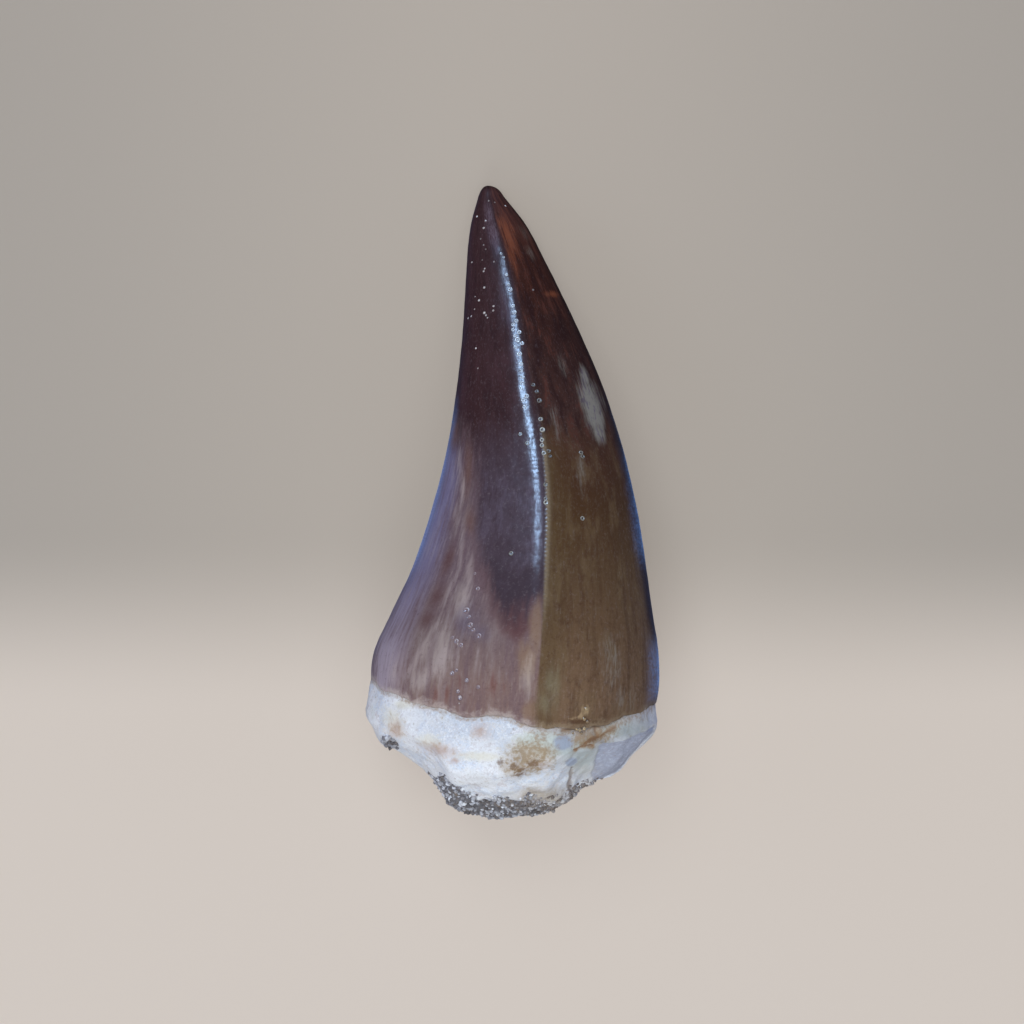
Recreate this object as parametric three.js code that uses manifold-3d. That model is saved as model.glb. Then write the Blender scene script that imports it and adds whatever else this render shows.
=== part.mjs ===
// A fossil mosasaur tooth: a curved enamel crown with two cutting edges, on the
// swollen stub of bone that held it in the jaw.
//
// Millimetres, +Z up. The tooth lies on a surface at z = 0, as a tooth that can't
// stand does. It points along +Y. Its front cutting edge is uppermost, its back edge
// underneath, and it bears on a small flat of the bone and on the bent-down point.
// The origin is the middle of its bounding box, at the bottom. The dimensions below
// are measured from the lowest point of the break, which is moved there at the end.
//
// The skin is one closed grid of meridians (angle "around") and rings ("down", from
// the point to the broken end). The grown shape comes first, and everything that
// stands proud of it or is sunk into it is then added along the surface's normal.

import * as THREE from "three";
import { mergeVertices } from "three/addons/utils/BufferGeometryUtils.js";
import Module from "manifold-3d";

// ---- Driving dimensions -------------------------------------------------------

const TOOTH_LENGTH = 50; // from the lowest point of the break to the tip

// The grown outline: a section at each height above the lowest point of the break.
// left and right are the flanks (x), edge is where both cutting edges run (x), and
// front and back are the depths (z) there, without the crests of the edges.
const SECTIONS = [
  { height: 8.7, left: -11.65, right: 11.6, edge: 1.9, front: 18.2, back: -0.6 },
  { height: 11, left: -11.3, right: 11.6, edge: 2.1, front: 18.2, back: -0.15 },
  { height: 13.4, left: -10.8, right: 11.45, edge: 2.3, front: 17.8, back: 0.5 },
  { height: 16, left: -9.6, right: 11.05, edge: 2.45, front: 17.1, back: 1.2 },
  { height: 20, left: -7.75, right: 10.5, edge: 2.6, front: 15.8, back: 1.9 },
  { height: 25, left: -6.1, right: 9.7, edge: 2.7, front: 14.1, back: 2.4 },
  { height: 30, left: -4.95, right: 8.5, edge: 2.3, front: 12.1, back: 2.5 },
  { height: 35, left: -4.2, right: 6.8, edge: 1.4, front: 9.9, back: 2.1 },
  { height: 40, left: -3.75, right: 4.6, edge: 0.6, front: 7.4, back: 1.4 },
  { height: 44, left: -3.55, right: 2.7, edge: -0.25, front: 5.1, back: 0.8 },
  { height: 47, left: -3.2, right: 1.15, edge: -1.1, front: 3.2, back: 0.28 },
  { height: 49.2, left: -2.55, right: -0.6, edge: -1.7, front: 1.85, back: -0.04 },
];
const FLANK_LEVEL = 0.45; // how far up the depth the section is widest

const POINT = { x: -1.8, z: 0.95 }; // the worn point

// The root narrows below its widest section as if to end at "depth". A break cuts it
// off first: BREAK_LINE is the break as seen from the front, from which it rises
// towards the front and back edges, with a rounded rim.
const ROOT = { depth: 11.2, left: 1.6, right: 1.9, edges: 3.2 }; // 1 is a cone, 2 is round
const BREAK = { x: 0.5, z: 8.2, rise: 0.04, rimRadius: 0.6 };
const BREAK_LINE = [
  { x: -13, height: 9 },
  { x: -11.6, height: 7.9 },
  { x: -10.2, height: 5.8 },
  { x: -9.2, height: 5.4 },
  { x: -7, height: 3.9 },
  { x: -5.7, height: 2.6 },
  { x: -4.6, height: 1.05 },
  { x: -2.5, height: 0.45 },
  { x: BREAK.x, height: 0 },
  { x: 3.8, height: 1.0 },
  { x: 5.8, height: 2.4 },
  { x: 8.6, height: 3.8 },
  { x: 10.5, height: 5.75 },
  { x: 13, height: 8.4 },
];

// Where the enamel ends: its height every 30 degrees, from the right flank by way of
// the front, and how far its rim stands proud of the bone.
const MARGIN_HEIGHTS = [9.4, 8.5, 7.35, 7.4, 8.35, 9.9, 11.1, 11.6, 12.1, 12.3, 12.1, 11.0];
const MARGIN_STEP = { depth: 0.25, spread: 2.5 };

const FRONT_EDGE = { height: 0.085, reach: 0.24 }; // shares of the section's half width
const BACK_EDGE = { height: 0.05, reach: 0.18 };
const EDGE_FADE = { from: 8, to: 16 }; // both edges die out towards the bone
const FACETS = { count: 5, depth: 0.16 }; // flattened strips down the right flank

// Places where the bone is chipped (negative) or lumpy (positive).
const BONE_MARKS = [
  { name: "scooped facet, front right", at: [7.6, 4.4, 14.6], size: 2.8, rise: -0.5 },
  { name: "front swelling", at: [-3.5, 5.4, 16.2], size: 3.0, rise: 0.35 },
  { name: "pit in the front", at: [1.6, 4.2, 16.4], size: 1.4, rise: -0.35 },
  { name: "back left lump", at: [-6.5, 7.0, 2.0], size: 2.4, rise: 0.5 },
  { name: "back scar", at: [5.5, 3.6, 2.2], size: 2.2, rise: -0.7 },
  { name: "hollow in the break", at: [2.6, 0.6, 5.6], size: 2.4, rise: -0.8 },
];
const BONE_UNEVENNESS = { height: 0.16, spacing: 4.6 };
const GRIT = { top: 3.4, blend: 1.4, height: 0.3, spacing: 2.3 }; // sand in the break

// ---- Grid ---------------------------------------------------------------------

const COLUMNS = 84; // a multiple of 4, so that a meridian runs down each edge
const POINT_ROWS = 3;
const CROWN_ROWS = 31;
const ROOT_ROWS = 23;
const ROWS = POINT_ROWS + CROWN_ROWS + ROOT_ROWS;
const NEAR_POLE = 1e-4;

const { lerp, smoothstep } = THREE.MathUtils;
const WIDEST = SECTIONS[0].height;
const POINT_BASE = SECTIONS.at(-1).height;
const POINT_HEIGHT = TOOTH_LENGTH - POINT_BASE;
const SECTION_KEYS = ["left", "right", "edge", "front", "back"];

const sectionSpline = new THREE.CubicInterpolant(
  SECTIONS.map((section) => section.height),
  SECTIONS.flatMap((section) => SECTION_KEYS.map((key) => section[key])),
  SECTION_KEYS.length,
  new Array(SECTION_KEYS.length),
);

const breakSpline = new THREE.CubicInterpolant(
  BREAK_LINE.map((point) => point.x),
  BREAK_LINE.map((point) => point.height),
  1,
  new Array(1),
);

function sectionAt(height) {
  const [left, right, edge, front, back] = sectionSpline.evaluate(height);
  return { left, right, edge, front, back, middle: lerp(back, front, FLANK_LEVEL) };
}

// A point of the section's outline, made of four quarter ellipses that meet at the
// two edges and the two flanks.
function sectionPoint(section, around) {
  const across = Math.cos(around);
  const up = Math.sin(around);
  const flank = across > 0 ? section.right - section.edge : section.edge - section.left;
  const depth = up > 0 ? section.front - section.middle : section.middle - section.back;
  return { x: section.edge + across * flank, z: section.middle + up * depth };
}

// ---- The line where the enamel ends -------------------------------------------

const marginCurve = new THREE.CatmullRomCurve3(
  MARGIN_HEIGHTS.map((height) => new THREE.Vector3(0, height, 0)),
  true,
);

function marginHeight(around) {
  const share = THREE.MathUtils.euclideanModulo(around / (2 * Math.PI), 1);
  const ragged = 0.12 * Math.sin(9 * around + 0.6) + 0.08 * Math.sin(17 * around + 2.1);
  return marginCurve.getPoint(share).y + ragged;
}

// ---- The grown shape ----------------------------------------------------------

// "down" is a height measured along a meridian: 0 at the widest ring, negative above
// it, and from 0 to a quarter turn round the end of the root.
const downToPointBase = (WIDEST - POINT_BASE) / ROOT.depth;

function squareness(around) {
  const flank = Math.cos(around) > 0 ? ROOT.right : ROOT.left;
  return lerp(ROOT.edges, flank, Math.cos(around) ** 2);
}

function downAtHeight(height, around) {
  const drop = (WIDEST - height) / ROOT.depth;
  return drop <= 0 ? drop : Math.asin(drop ** (squareness(around) / 2));
}

// The larger of two heights, with the corner between them rounded.
function softMax(a, b, radius) {
  return (a + b + Math.hypot(a - b, radius)) / 2;
}

function breakHeight(x, z) {
  return breakSpline.evaluate(x)[0] + BREAK.rise * (z - BREAK.z) ** 2;
}

function grownPoint(around, down) {
  if (down < downToPointBase) {
    const turn = downToPointBase - down;
    const { x, z } = sectionPoint(sectionAt(POINT_BASE), around);
    const share = Math.cos(turn);
    const height = POINT_BASE + POINT_HEIGHT * Math.sin(turn);
    return new THREE.Vector3(lerp(POINT.x, x, share), height, lerp(POINT.z, z, share));
  }
  if (down <= 0) {
    const height = WIDEST - down * ROOT.depth;
    const { x, z } = sectionPoint(sectionAt(height), around);
    return new THREE.Vector3(x, height, z);
  }
  const power = 2 / squareness(around);
  const widest = sectionPoint(sectionAt(WIDEST), around);
  const share = Math.max(Math.cos(down), 0) ** power;
  const x = lerp(BREAK.x, widest.x, share);
  const z = lerp(BREAK.z, widest.z, share);
  const height = WIDEST - ROOT.depth * Math.sin(down) ** power;
  return new THREE.Vector3(x, softMax(height, breakHeight(x, z), BREAK.rimRadius), z);
}

// ---- Relief -------------------------------------------------------------------

// A smooth unevenness between -1 and 1, with bumps about "spacing" apart.
function unevenness(point, spacing) {
  const k = (2 * Math.PI) / spacing;
  const { x, y, z } = point;
  return (
    (Math.sin(k * (x + 0.31 * y) + 1.3) * Math.sin(k * (0.93 * z - 0.37 * y) + 0.4) +
      Math.sin(k * (0.71 * y + 0.55 * z) + 2.2) * Math.sin(k * (0.62 * x - 0.7 * z) + 5.1) +
      Math.sin(k * (0.57 * x + 0.83 * y) + 4.0)) /
    3
  );
}

// A cutting edge: the two faces run up to it nearly flat and meet in a crease.
function cuttingEdge(edge, distance, halfWidth) {
  return edge.height * halfWidth * Math.exp(-Math.abs(distance) / (edge.reach * halfWidth));
}

function crownRelief(around, point) {
  const section = sectionAt(point.y);
  const halfWidth = (section.right - section.left) / 2;
  const fade = smoothstep(point.y, EDGE_FADE.from, EDGE_FADE.to);
  const edge = Math.sin(around) > 0 ? FRONT_EDGE : BACK_EDGE;
  const crease = fade * cuttingEdge(edge, point.x - section.edge, halfWidth);
  const rightFlank = Math.max(Math.cos(around), 0);
  const scallop = Math.abs(Math.sin((FACETS.count * around) / 2 + 0.5 * Math.PI));
  const facet = FACETS.depth * (halfWidth / WIDEST) * rightFlank * (scallop - 0.6);
  return crease + facet;
}

function boneRelief(around, point) {
  const belowMargin = Math.max(marginHeight(around) - point.y, 0);
  let rise = -MARGIN_STEP.depth * Math.exp(-belowMargin / MARGIN_STEP.spread);
  rise += BONE_UNEVENNESS.height * unevenness(point, BONE_UNEVENNESS.spacing);
  for (const mark of BONE_MARKS) {
    const distance = point.distanceTo(new THREE.Vector3(...mark.at));
    rise += mark.rise * Math.exp(-((distance / mark.size) ** 2));
  }
  const gritty = 1 - smoothstep(point.y, GRIT.top - GRIT.blend, GRIT.top);
  return rise + gritty * GRIT.height * unevenness(point, GRIT.spacing);
}

function outwardNormal(around, down) {
  const step = 1e-3;
  const aroundTangent = grownPoint(around + step, down).sub(grownPoint(around - step, down));
  const downTangent = grownPoint(around, down + step).sub(grownPoint(around, down - step));
  return aroundTangent.cross(downTangent).normalize();
}

function skinPoint(around, down, onEnamel) {
  const point = grownPoint(around, down);
  const rise = onEnamel ? crownRelief(around, point) : boneRelief(around, point);
  return point.addScaledVector(outwardNormal(around, down), rise);
}

// ---- Rings --------------------------------------------------------------------

// How far down ring number "row" lies on the meridian at "around". Ring
// POINT_ROWS + CROWN_ROWS is the last of the enamel, and follows the margin.
function ring(row, around) {
  const lastEnamelRow = POINT_ROWS + CROWN_ROWS;
  const margin = downAtHeight(marginHeight(around), around);
  if (row <= POINT_ROWS) {
    return downToPointBase - (Math.PI / 2) * (1 - row / POINT_ROWS);
  }
  if (row <= lastEnamelRow) {
    return lerp(downToPointBase, margin, (row - POINT_ROWS) / CROWN_ROWS);
  }
  const boneStart = downAtHeight(marginHeight(around) - MARGIN_STEP.depth, around);
  const share = (row - lastEnamelRow - 1) / (ROOT_ROWS - 1);
  return lerp(boneStart, Math.PI / 2, share);
}

function skinGeometry() {
  const geometry = new THREE.SphereGeometry(1, COLUMNS, ROWS);
  const position = geometry.attributes.position;
  for (let row = 0; row <= ROWS; row++) {
    const onEnamel = row <= POINT_ROWS + CROWN_ROWS;
    for (let column = 0; column <= COLUMNS; column++) {
      // The first and last columns are the same meridian, at the left flank. A pole is
      // one point, which takes its relief from just beside it on the front meridian.
      const around = Math.PI - (2 * Math.PI * (column % COLUMNS)) / COLUMNS;
      const besidePole = row === 0 ? NEAR_POLE : row === ROWS ? -NEAR_POLE : 0;
      const meridian = besidePole ? Math.PI / 2 : around;
      const point = skinPoint(meridian, ring(row, meridian) + besidePole, onEnamel);
      position.setXYZ(row * (COLUMNS + 1) + column, point.x, point.y, point.z);
    }
  }
  geometry.deleteAttribute("normal");
  geometry.deleteAttribute("uv");
  return mergeVertices(geometry);
}

// ---- The flat it rests on -----------------------------------------------------

const wasm = await Module();
wasm.setup();

function solidFrom(geometry) {
  return new wasm.Manifold(
    new wasm.Mesh({
      numProp: 3,
      vertProperties: geometry.attributes.position.array,
      triVerts: new Uint32Array(geometry.index.array),
    }),
  );
}

function geometryFrom(solid) {
  const { vertProperties, triVerts } = solid.getMesh();
  return new THREE.BufferGeometry()
    .setAttribute("position", new THREE.BufferAttribute(vertProperties, 3))
    .setIndex(new THREE.BufferAttribute(triVerts, 1));
}

function blockBelowSurface() {
  const depth = 10;
  const block = new THREE.BoxGeometry(2 * TOOTH_LENGTH, 2 * TOOTH_LENGTH, depth);
  block.translate(0, TOOTH_LENGTH / 2, -depth / 2);
  block.deleteAttribute("normal");
  block.deleteAttribute("uv");
  return mergeVertices(block);
}

const geometry = geometryFrom(
  solidFrom(skinGeometry()).subtract(solidFrom(blockBelowSurface())),
);
geometry.computeVertexNormals();
geometry.computeBoundingBox();

// ---- Scene graph --------------------------------------------------------------

const fossilEnamel = new THREE.MeshStandardMaterial({
  name: "fossil enamel",
  color: 0x4b3228,
  roughness: 0.25,
  metalness: 0,
});

const tooth = new THREE.Mesh(geometry, fossilEnamel);
tooth.name = "tooth";
const centre = geometry.boundingBox.getCenter(new THREE.Vector3());
tooth.position.set(-centre.x, -centre.y, 0);

const fossil = new THREE.Group();
fossil.add(tooth);

export default fossil;
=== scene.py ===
"""A fossil mosasaur tooth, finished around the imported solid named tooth.

The tooth lies at z = 0 with its front cutting edge up and its point towards +Y. A place
on it is given by "around", the angle round the tooth from its right flank by way of the
front edge, and by its height in millimetres above the lowest point of the break.
"""

import bmesh
import bpy
import numpy as np
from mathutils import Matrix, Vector


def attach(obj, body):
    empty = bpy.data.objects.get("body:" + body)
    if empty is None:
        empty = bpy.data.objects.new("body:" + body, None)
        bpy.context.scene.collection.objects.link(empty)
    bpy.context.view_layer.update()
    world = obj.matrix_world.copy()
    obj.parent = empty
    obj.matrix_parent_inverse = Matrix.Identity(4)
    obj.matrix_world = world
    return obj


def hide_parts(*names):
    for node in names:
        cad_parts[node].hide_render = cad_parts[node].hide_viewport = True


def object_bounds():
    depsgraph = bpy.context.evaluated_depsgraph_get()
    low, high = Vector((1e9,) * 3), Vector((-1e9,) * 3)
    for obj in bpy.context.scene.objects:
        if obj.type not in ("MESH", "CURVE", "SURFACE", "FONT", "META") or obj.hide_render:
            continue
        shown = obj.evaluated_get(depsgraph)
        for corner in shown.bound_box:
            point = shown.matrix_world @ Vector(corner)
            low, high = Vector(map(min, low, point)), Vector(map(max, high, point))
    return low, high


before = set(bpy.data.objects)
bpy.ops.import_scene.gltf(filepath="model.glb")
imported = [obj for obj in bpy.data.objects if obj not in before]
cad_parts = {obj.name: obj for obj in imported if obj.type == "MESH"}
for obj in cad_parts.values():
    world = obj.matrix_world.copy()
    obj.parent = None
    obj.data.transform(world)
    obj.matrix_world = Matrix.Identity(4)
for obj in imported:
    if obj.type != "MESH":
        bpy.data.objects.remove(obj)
cad_low, cad_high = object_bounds()

MM = 0.001
FRONT = np.pi / 2

# ---- The grown shape, in millimetres ------------------------------------------------

TOOTH_LENGTH = 50.0
# The flanks and the cutting edges lie in x, and the front and the back in z.
SECTION_HEIGHTS = (8.7, 11, 13.4, 16, 20, 25, 30, 35, 40, 44, 47, 49.2)
SECTIONS = {
    "left": (-11.65, -11.3, -10.8, -9.6, -7.75, -6.1, -4.95, -4.2, -3.75, -3.55, -3.22, -2.62),
    "right": (11.6, 11.6, 11.45, 11.05, 10.5, 9.7, 8.5, 6.8, 4.6, 2.66, 1.08, -0.62),
    "edge": (1.9, 2.1, 2.3, 2.45, 2.6, 2.7, 2.3, 1.4, 0.6, -0.25, -1.1, -1.7),
    "front": (18.2, 18.2, 17.8, 17.1, 15.8, 14.1, 12.1, 9.9, 7.4, 5.1, 3.2, 1.85),
    "back": (-0.6, -0.15, 0.5, 1.2, 1.9, 2.4, 2.5, 2.1, 1.4, 0.8, 0.28, -0.04),
}
FLANK_LEVEL = 0.45  # how high the flanks lie between the back and the front
POINT_X, POINT_Z = -1.8, 0.95
POINT_TAPER = 0.4  # how far the sides go on narrowing into the point

ROOT_DEPTH = 11.2  # from the widest ring to where the root would close
ROOT_SQUARENESS = {"left": 1.6, "right": 1.9, "edges": 3.2}
BREAK_X, BREAK_Z = 0.5, 8.2  # the break's middle
BREAK_RISE = 0.04  # how the break rises to the front and the back
BREAK_RIM = 0.6  # how rounded its rim is
BREAK_LINE_X = (-13, -11.6, -10.2, -9.2, -7, -5.7, -4.6, -2.5, BREAK_X, 3.8, 5.8, 8.6, 10.5, 13)
BREAK_LINE = (9, 7.9, 5.8, 5.4, 3.9, 2.6, 1.05, 0.45, 0, 1.0, 2.4, 3.8, 5.75, 8.4)

# The enamel's border, at even steps round the tooth.
MARGIN_HEIGHTS = (9.4, 8.5, 7.35, 7.4, 8.35, 9.9, 11.1, 11.6, 12.1, 12.3, 12.1, 11.0)
MARGIN_OVERLAP = 3  # steps that its curve runs on at both ends, so that it closes smoothly
MARGIN_DEPTH, MARGIN_SPREAD = 0.25, 2.5  # the bone lies this deep at the border, and less below
MARGIN_STEPS = ((1.77, 0.15, 0.5), (1.5, 0.13, -0.3), (2.5, 0.1, 0.2))  # angle, reach, rise

WIDEST = SECTION_HEIGHTS[0]
POINT_BASE = SECTION_HEIGHTS[-1]
POINT_HEIGHT = TOOTH_LENGTH - POINT_BASE
DOWN_TO_POINT_BASE = (WIDEST - POINT_BASE) / ROOT_DEPTH


def curve_through(stations, values):
    """A smooth curve through the values at these stations."""
    stations = np.asarray(stations, float)
    values = np.asarray(values, float)
    gaps = np.diff(stations)
    slopes = np.diff(values) / gaps
    tangents = np.concatenate([slopes[:1], (slopes[:-1] + slopes[1:]) / 2, slopes[-1:]])

    def at(place):
        place = np.clip(place, stations[0], stations[-1])
        i = np.clip(np.searchsorted(stations, place, "right") - 1, 0, len(gaps) - 1)
        gap = gaps[i]
        p = (place - stations[i]) / gap
        start = (1 + 2 * p) * (1 - p) ** 2 * values[i] + p * (1 - p) ** 2 * gap * tangents[i]
        end = p * p * (3 - 2 * p) * values[i + 1] - p * p * (1 - p) * gap * tangents[i + 1]
        return start + end

    return at


SECTION_CURVES = {name: curve_through(SECTION_HEIGHTS, row) for name, row in SECTIONS.items()}
BREAK_CURVE = curve_through(BREAK_LINE_X, BREAK_LINE)
MARGIN_PLACES = np.arange(-MARGIN_OVERLAP, len(MARGIN_HEIGHTS) + MARGIN_OVERLAP + 1)
MARGIN_CURVE = curve_through(
    MARGIN_PLACES * 2 * np.pi / len(MARGIN_HEIGHTS),
    np.take(MARGIN_HEIGHTS, MARGIN_PLACES, mode="wrap"),
)


def mix(a, b, share):
    return a + (b - a) * share


def bell(distance, width):
    """1 at no distance, and falling away smoothly over about this width."""
    return np.exp(-((distance / width) ** 2))


def ease(value, low, high):
    """0 on the side of low, 1 on the side of high, and smooth between."""
    t = np.clip((value - low) / (high - low), 0, 1)
    return t * t * (3 - 2 * t)


def section(height):
    """The section's flanks, edges and depths at this height."""
    found = {name: curve(height) for name, curve in SECTION_CURVES.items()}
    found["middle"] = mix(found["back"], found["front"], FLANK_LEVEL)
    found["half_width"] = (found["right"] - found["left"]) / 2
    return found


def flank_width(cut, on_right):
    """How far the flank lies to the side of the cutting edges."""
    return np.where(on_right, cut["right"] - cut["edge"], cut["edge"] - cut["left"])


def outline(cut, around):
    """A point of a section: four quarter ellipses that meet at its edges and flanks."""
    across, up = np.cos(around), np.sin(around)
    flank = flank_width(cut, across > 0)
    depth = np.where(up > 0, cut["front"] - cut["middle"], cut["middle"] - cut["back"])
    return cut["edge"] + across * flank, cut["middle"] + up * depth


def squareness(around):
    """The power of the root's bulge: 2 is round, and more is squarer."""
    flank = np.where(np.cos(around) > 0, ROOT_SQUARENESS["right"], ROOT_SQUARENESS["left"])
    return mix(ROOT_SQUARENESS["edges"], flank, np.cos(around) ** 2)


def down_at_height(height, around):
    """The down of grown() that this height lies at."""
    drop = (WIDEST - height) / ROOT_DEPTH
    return np.where(drop <= 0, drop, np.arcsin(np.maximum(drop, 0) ** (squareness(around) / 2)))


def break_height(x, z):
    return BREAK_CURVE(x) + BREAK_RISE * (z - BREAK_Z) ** 2


def root_height(around, down):
    """The height of the bulging root, before it is broken off."""
    return WIDEST - ROOT_DEPTH * np.sin(np.clip(down, 0, FRONT)) ** (2 / squareness(around))


def grown(around, down):
    """Points of the smooth tooth. Down is 0 at the widest ring and less above it."""
    height = np.clip(WIDEST - down * ROOT_DEPTH, WIDEST, POINT_BASE)
    x, z = outline(section(height), around)
    point_turn = np.clip(DOWN_TO_POINT_BASE - down, 0, FRONT)
    root_share = np.cos(np.clip(down, 0, FRONT)) ** (2 / squareness(around))
    taper = POINT_TAPER * np.sin(point_turn) * (1 - np.sin(point_turn))
    share = (np.cos(point_turn) - taper) * root_share
    x = mix(np.where(down < 0, POINT_X, BREAK_X), x, share)
    z = mix(np.where(down < 0, POINT_Z, BREAK_Z), z, share)
    y = height + POINT_HEIGHT * np.sin(point_turn)
    low, floor = root_height(around, down), break_height(x, z)
    rim = BREAK_RIM * ease(down, 0, 0.25)
    cut_off = (low + floor + np.hypot(low - floor, rim)) / 2
    return np.stack([x, np.where(down > 0, cut_off, y), z], -1)


def outward(around, down):
    """The smooth tooth's normals."""
    step = 1e-3
    across = grown(around + step, down) - grown(around - step, down)
    along = grown(around, down + step) - grown(around, down - step)
    normal = np.cross(across, along)
    return normal / np.maximum(np.linalg.norm(normal, axis=-1, keepdims=True), 1e-12)


def noise(points, size, seed=0):
    """Smooth noise from -1 to 1, in lumps of about this size."""
    cell = points / size
    corner = np.floor(cell).astype(np.int64)
    t = cell - corner
    t = t * t * (3 - 2 * t)
    total = 0.0
    for step in np.ndindex(2, 2, 2):
        at = corner + np.array(step)
        # A hash of the whole corner gives the number that belongs to it.
        key = at[..., 0] * 73856093 ^ at[..., 1] * 19349663 ^ at[..., 2] * 83492791 ^ seed * 7919
        key = (key ^ (key >> 13)) * 1274126177 & 0x7FFFFFFF
        key = (key ^ (key >> 15)) * 668265263 & 0x7FFFFFFF
        weight = np.prod(np.where(step, t, 1 - t), axis=-1)
        total = total + weight * ((key >> 8) % 4096 / 2047.5 - 1)
    return total


def unevenness(points, spacing):
    """The waves that the solid's bone and break have too."""
    k = 2 * np.pi / spacing
    x, y, z = np.moveaxis(points, -1, 0)
    return (
        np.sin(k * (x + 0.31 * y) + 1.3) * np.sin(k * (0.93 * z - 0.37 * y) + 0.4)
        + np.sin(k * (0.71 * y + 0.55 * z) + 2.2) * np.sin(k * (0.62 * x - 0.7 * z) + 5.1)
        + np.sin(k * (0.57 * x + 0.83 * y) + 4.0)
    ) / 3


def spot(x, height, centre, radii, lean=0.0):
    """1 at the centre of an oval seen from the front, 0 at its edge and less outside."""
    u = (x - centre[0] - lean * (height - centre[1])) / radii[0]
    v = (height - centre[1]) / radii[1]
    return 1 - np.hypot(u, v)


# ---- The enamel's own relief --------------------------------------------------------

DENTICLE = 0.335  # from one serration of the cutting edges to the next
SERRATION = 0.3  # how deep the serrations are, as a share of the keel
FRONT_CREST = {"height": 0.085, "reach": 0.24}
BACK_CREST = {"height": 0.05, "reach": 0.18}
BACK_ROUNDING = 0.15
# The front crease is blunt, and it runs a little to the left of where the colours meet.
CREASE_HEIGHTS = (18, 22, 26, 29, 31.5, 33.5, 35, 37, 40, 45)
CREASE_AT = curve_through(
    CREASE_HEIGHTS, (-0.38, -0.37, -0.45, -0.54, -0.60, -0.64, -0.52, -0.42, -0.37, -0.32)
)
CREASE_ROUNDING = curve_through((18, 26, 32, 36, 45), (0.8, 0.8, 0.75, 0.68, 0.5))
KEEL_AT, KEEL_WIDTH = 0.18, 0.17  # to the right of the edge
KEEL_RISE, WORN_KEEL_RISE, BACK_KEEL_RISE = 0.085, 0.02, 0.09
FACET_COUNT, FACET_DEPTH = 5, 0.16  # long flats down the right flank; the count is for a whole turn
RIPPLE, FINE_RIPPLE = 0.035, 0.012
# From this height to that one.
EDGES_RISE = (8, 16)
KEEL_RISES, KEEL_WEARS, KEEL_ENDS = (11, 17), (29, 33), (47, 49)


def crease(kind, distance, rounding, half_width):
    """The ridge that the two faces of the tooth make where they meet."""
    off = np.hypot(distance, rounding) - rounding
    return kind["height"] * half_width * np.exp(-off / (kind["reach"] * half_width))


def keel(distance, height):
    """The fine serrated line along a cutting edge, from 0 to 1."""
    saw = 1 - SERRATION + SERRATION * np.cos(2 * np.pi * height / DENTICLE)
    fade = ease(height, *KEEL_RISES) * (1 - ease(height, *KEEL_ENDS))
    return saw * fade * bell(distance - KEEL_AT, KEEL_WIDTH)


def margin_height(around):
    """The height of the enamel's wavy border."""
    turn = np.mod(around, 2 * np.pi)
    waves = 0.1 * np.sin(9 * turn + 0.6) + 0.08 * np.sin(17 * turn + 2.1)
    steps = sum(rise * bell(turn - at, reach) for at, reach, rise in MARGIN_STEPS)
    return MARGIN_CURVE(turn) + waves + steps


def crown_relief(around, points):
    """How far the enamel stands out of the smooth tooth: edges, facets and ripple."""
    height = points[..., 1]
    cut = section(height)
    distance = points[..., 0] - cut["edge"]
    fade = ease(height, *EDGES_RISE)
    half_width = cut["half_width"]
    keel_rise = mix(KEEL_RISE, WORN_KEEL_RISE, ease(height, *KEEL_WEARS))
    front = crease(FRONT_CREST, distance - CREASE_AT(height), CREASE_ROUNDING(height), half_width)
    front = fade * (front + keel_rise * keel(distance, height))
    back = crease(BACK_CREST, distance, BACK_ROUNDING, half_width)
    back = fade * (back + BACK_KEEL_RISE * keel(distance, height))
    ridge = np.where(np.sin(around) > 0, front, back)
    scallop = np.abs(np.sin(FACET_COUNT * around / 2 + FRONT)) - 0.6
    facet = FACET_DEPTH * half_width / WIDEST * np.maximum(np.cos(around), 0) * scallop
    ripple = RIPPLE * noise(points * (1, 0.35, 1), 1.7, 3) + FINE_RIPPLE * noise(points, 0.55, 4)
    return ridge + facet + ripple * ease(TOOTH_LENGTH - height, 0, 6)


# ---- Meshes -------------------------------------------------------------------------

SKIN_LEFT = float(grown(np.linspace(0, 2 * np.pi, 721), np.zeros(721))[:, 0].min())


def place(points):
    """Millimetres from the break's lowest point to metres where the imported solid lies."""
    scale = (cad_high.y - cad_low.y) / TOOTH_LENGTH
    shift = np.array([cad_low.x - SKIN_LEFT * scale, cad_low.y, 0.0])
    placed = np.asarray(points, float) * scale + shift
    placed[..., 2] = np.maximum(placed[..., 2], 0.0)
    return placed


def mesh_object(name, points, faces, finish, shares):
    """A piece whose shares, one number or vector a point, are named for its finish."""
    mesh = bpy.data.meshes.new(name)
    mesh.from_pydata(place(points).tolist(), [], faces)
    for key, values in shares.items():
        values = np.asarray(values, np.float32)
        if values.ndim == 2:
            layer = mesh.attributes.new(key, "FLOAT_VECTOR", "POINT")
            layer.data.foreach_set("vector", values.ravel())
        else:
            layer = mesh.attributes.new(key, "FLOAT", "POINT")
            layer.data.foreach_set("value", values)
    mesh.shade_smooth()
    mesh.materials.append(finish)
    piece = bpy.data.objects.new(name, mesh)
    bpy.context.scene.collection.objects.link(piece)
    return piece


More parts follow.
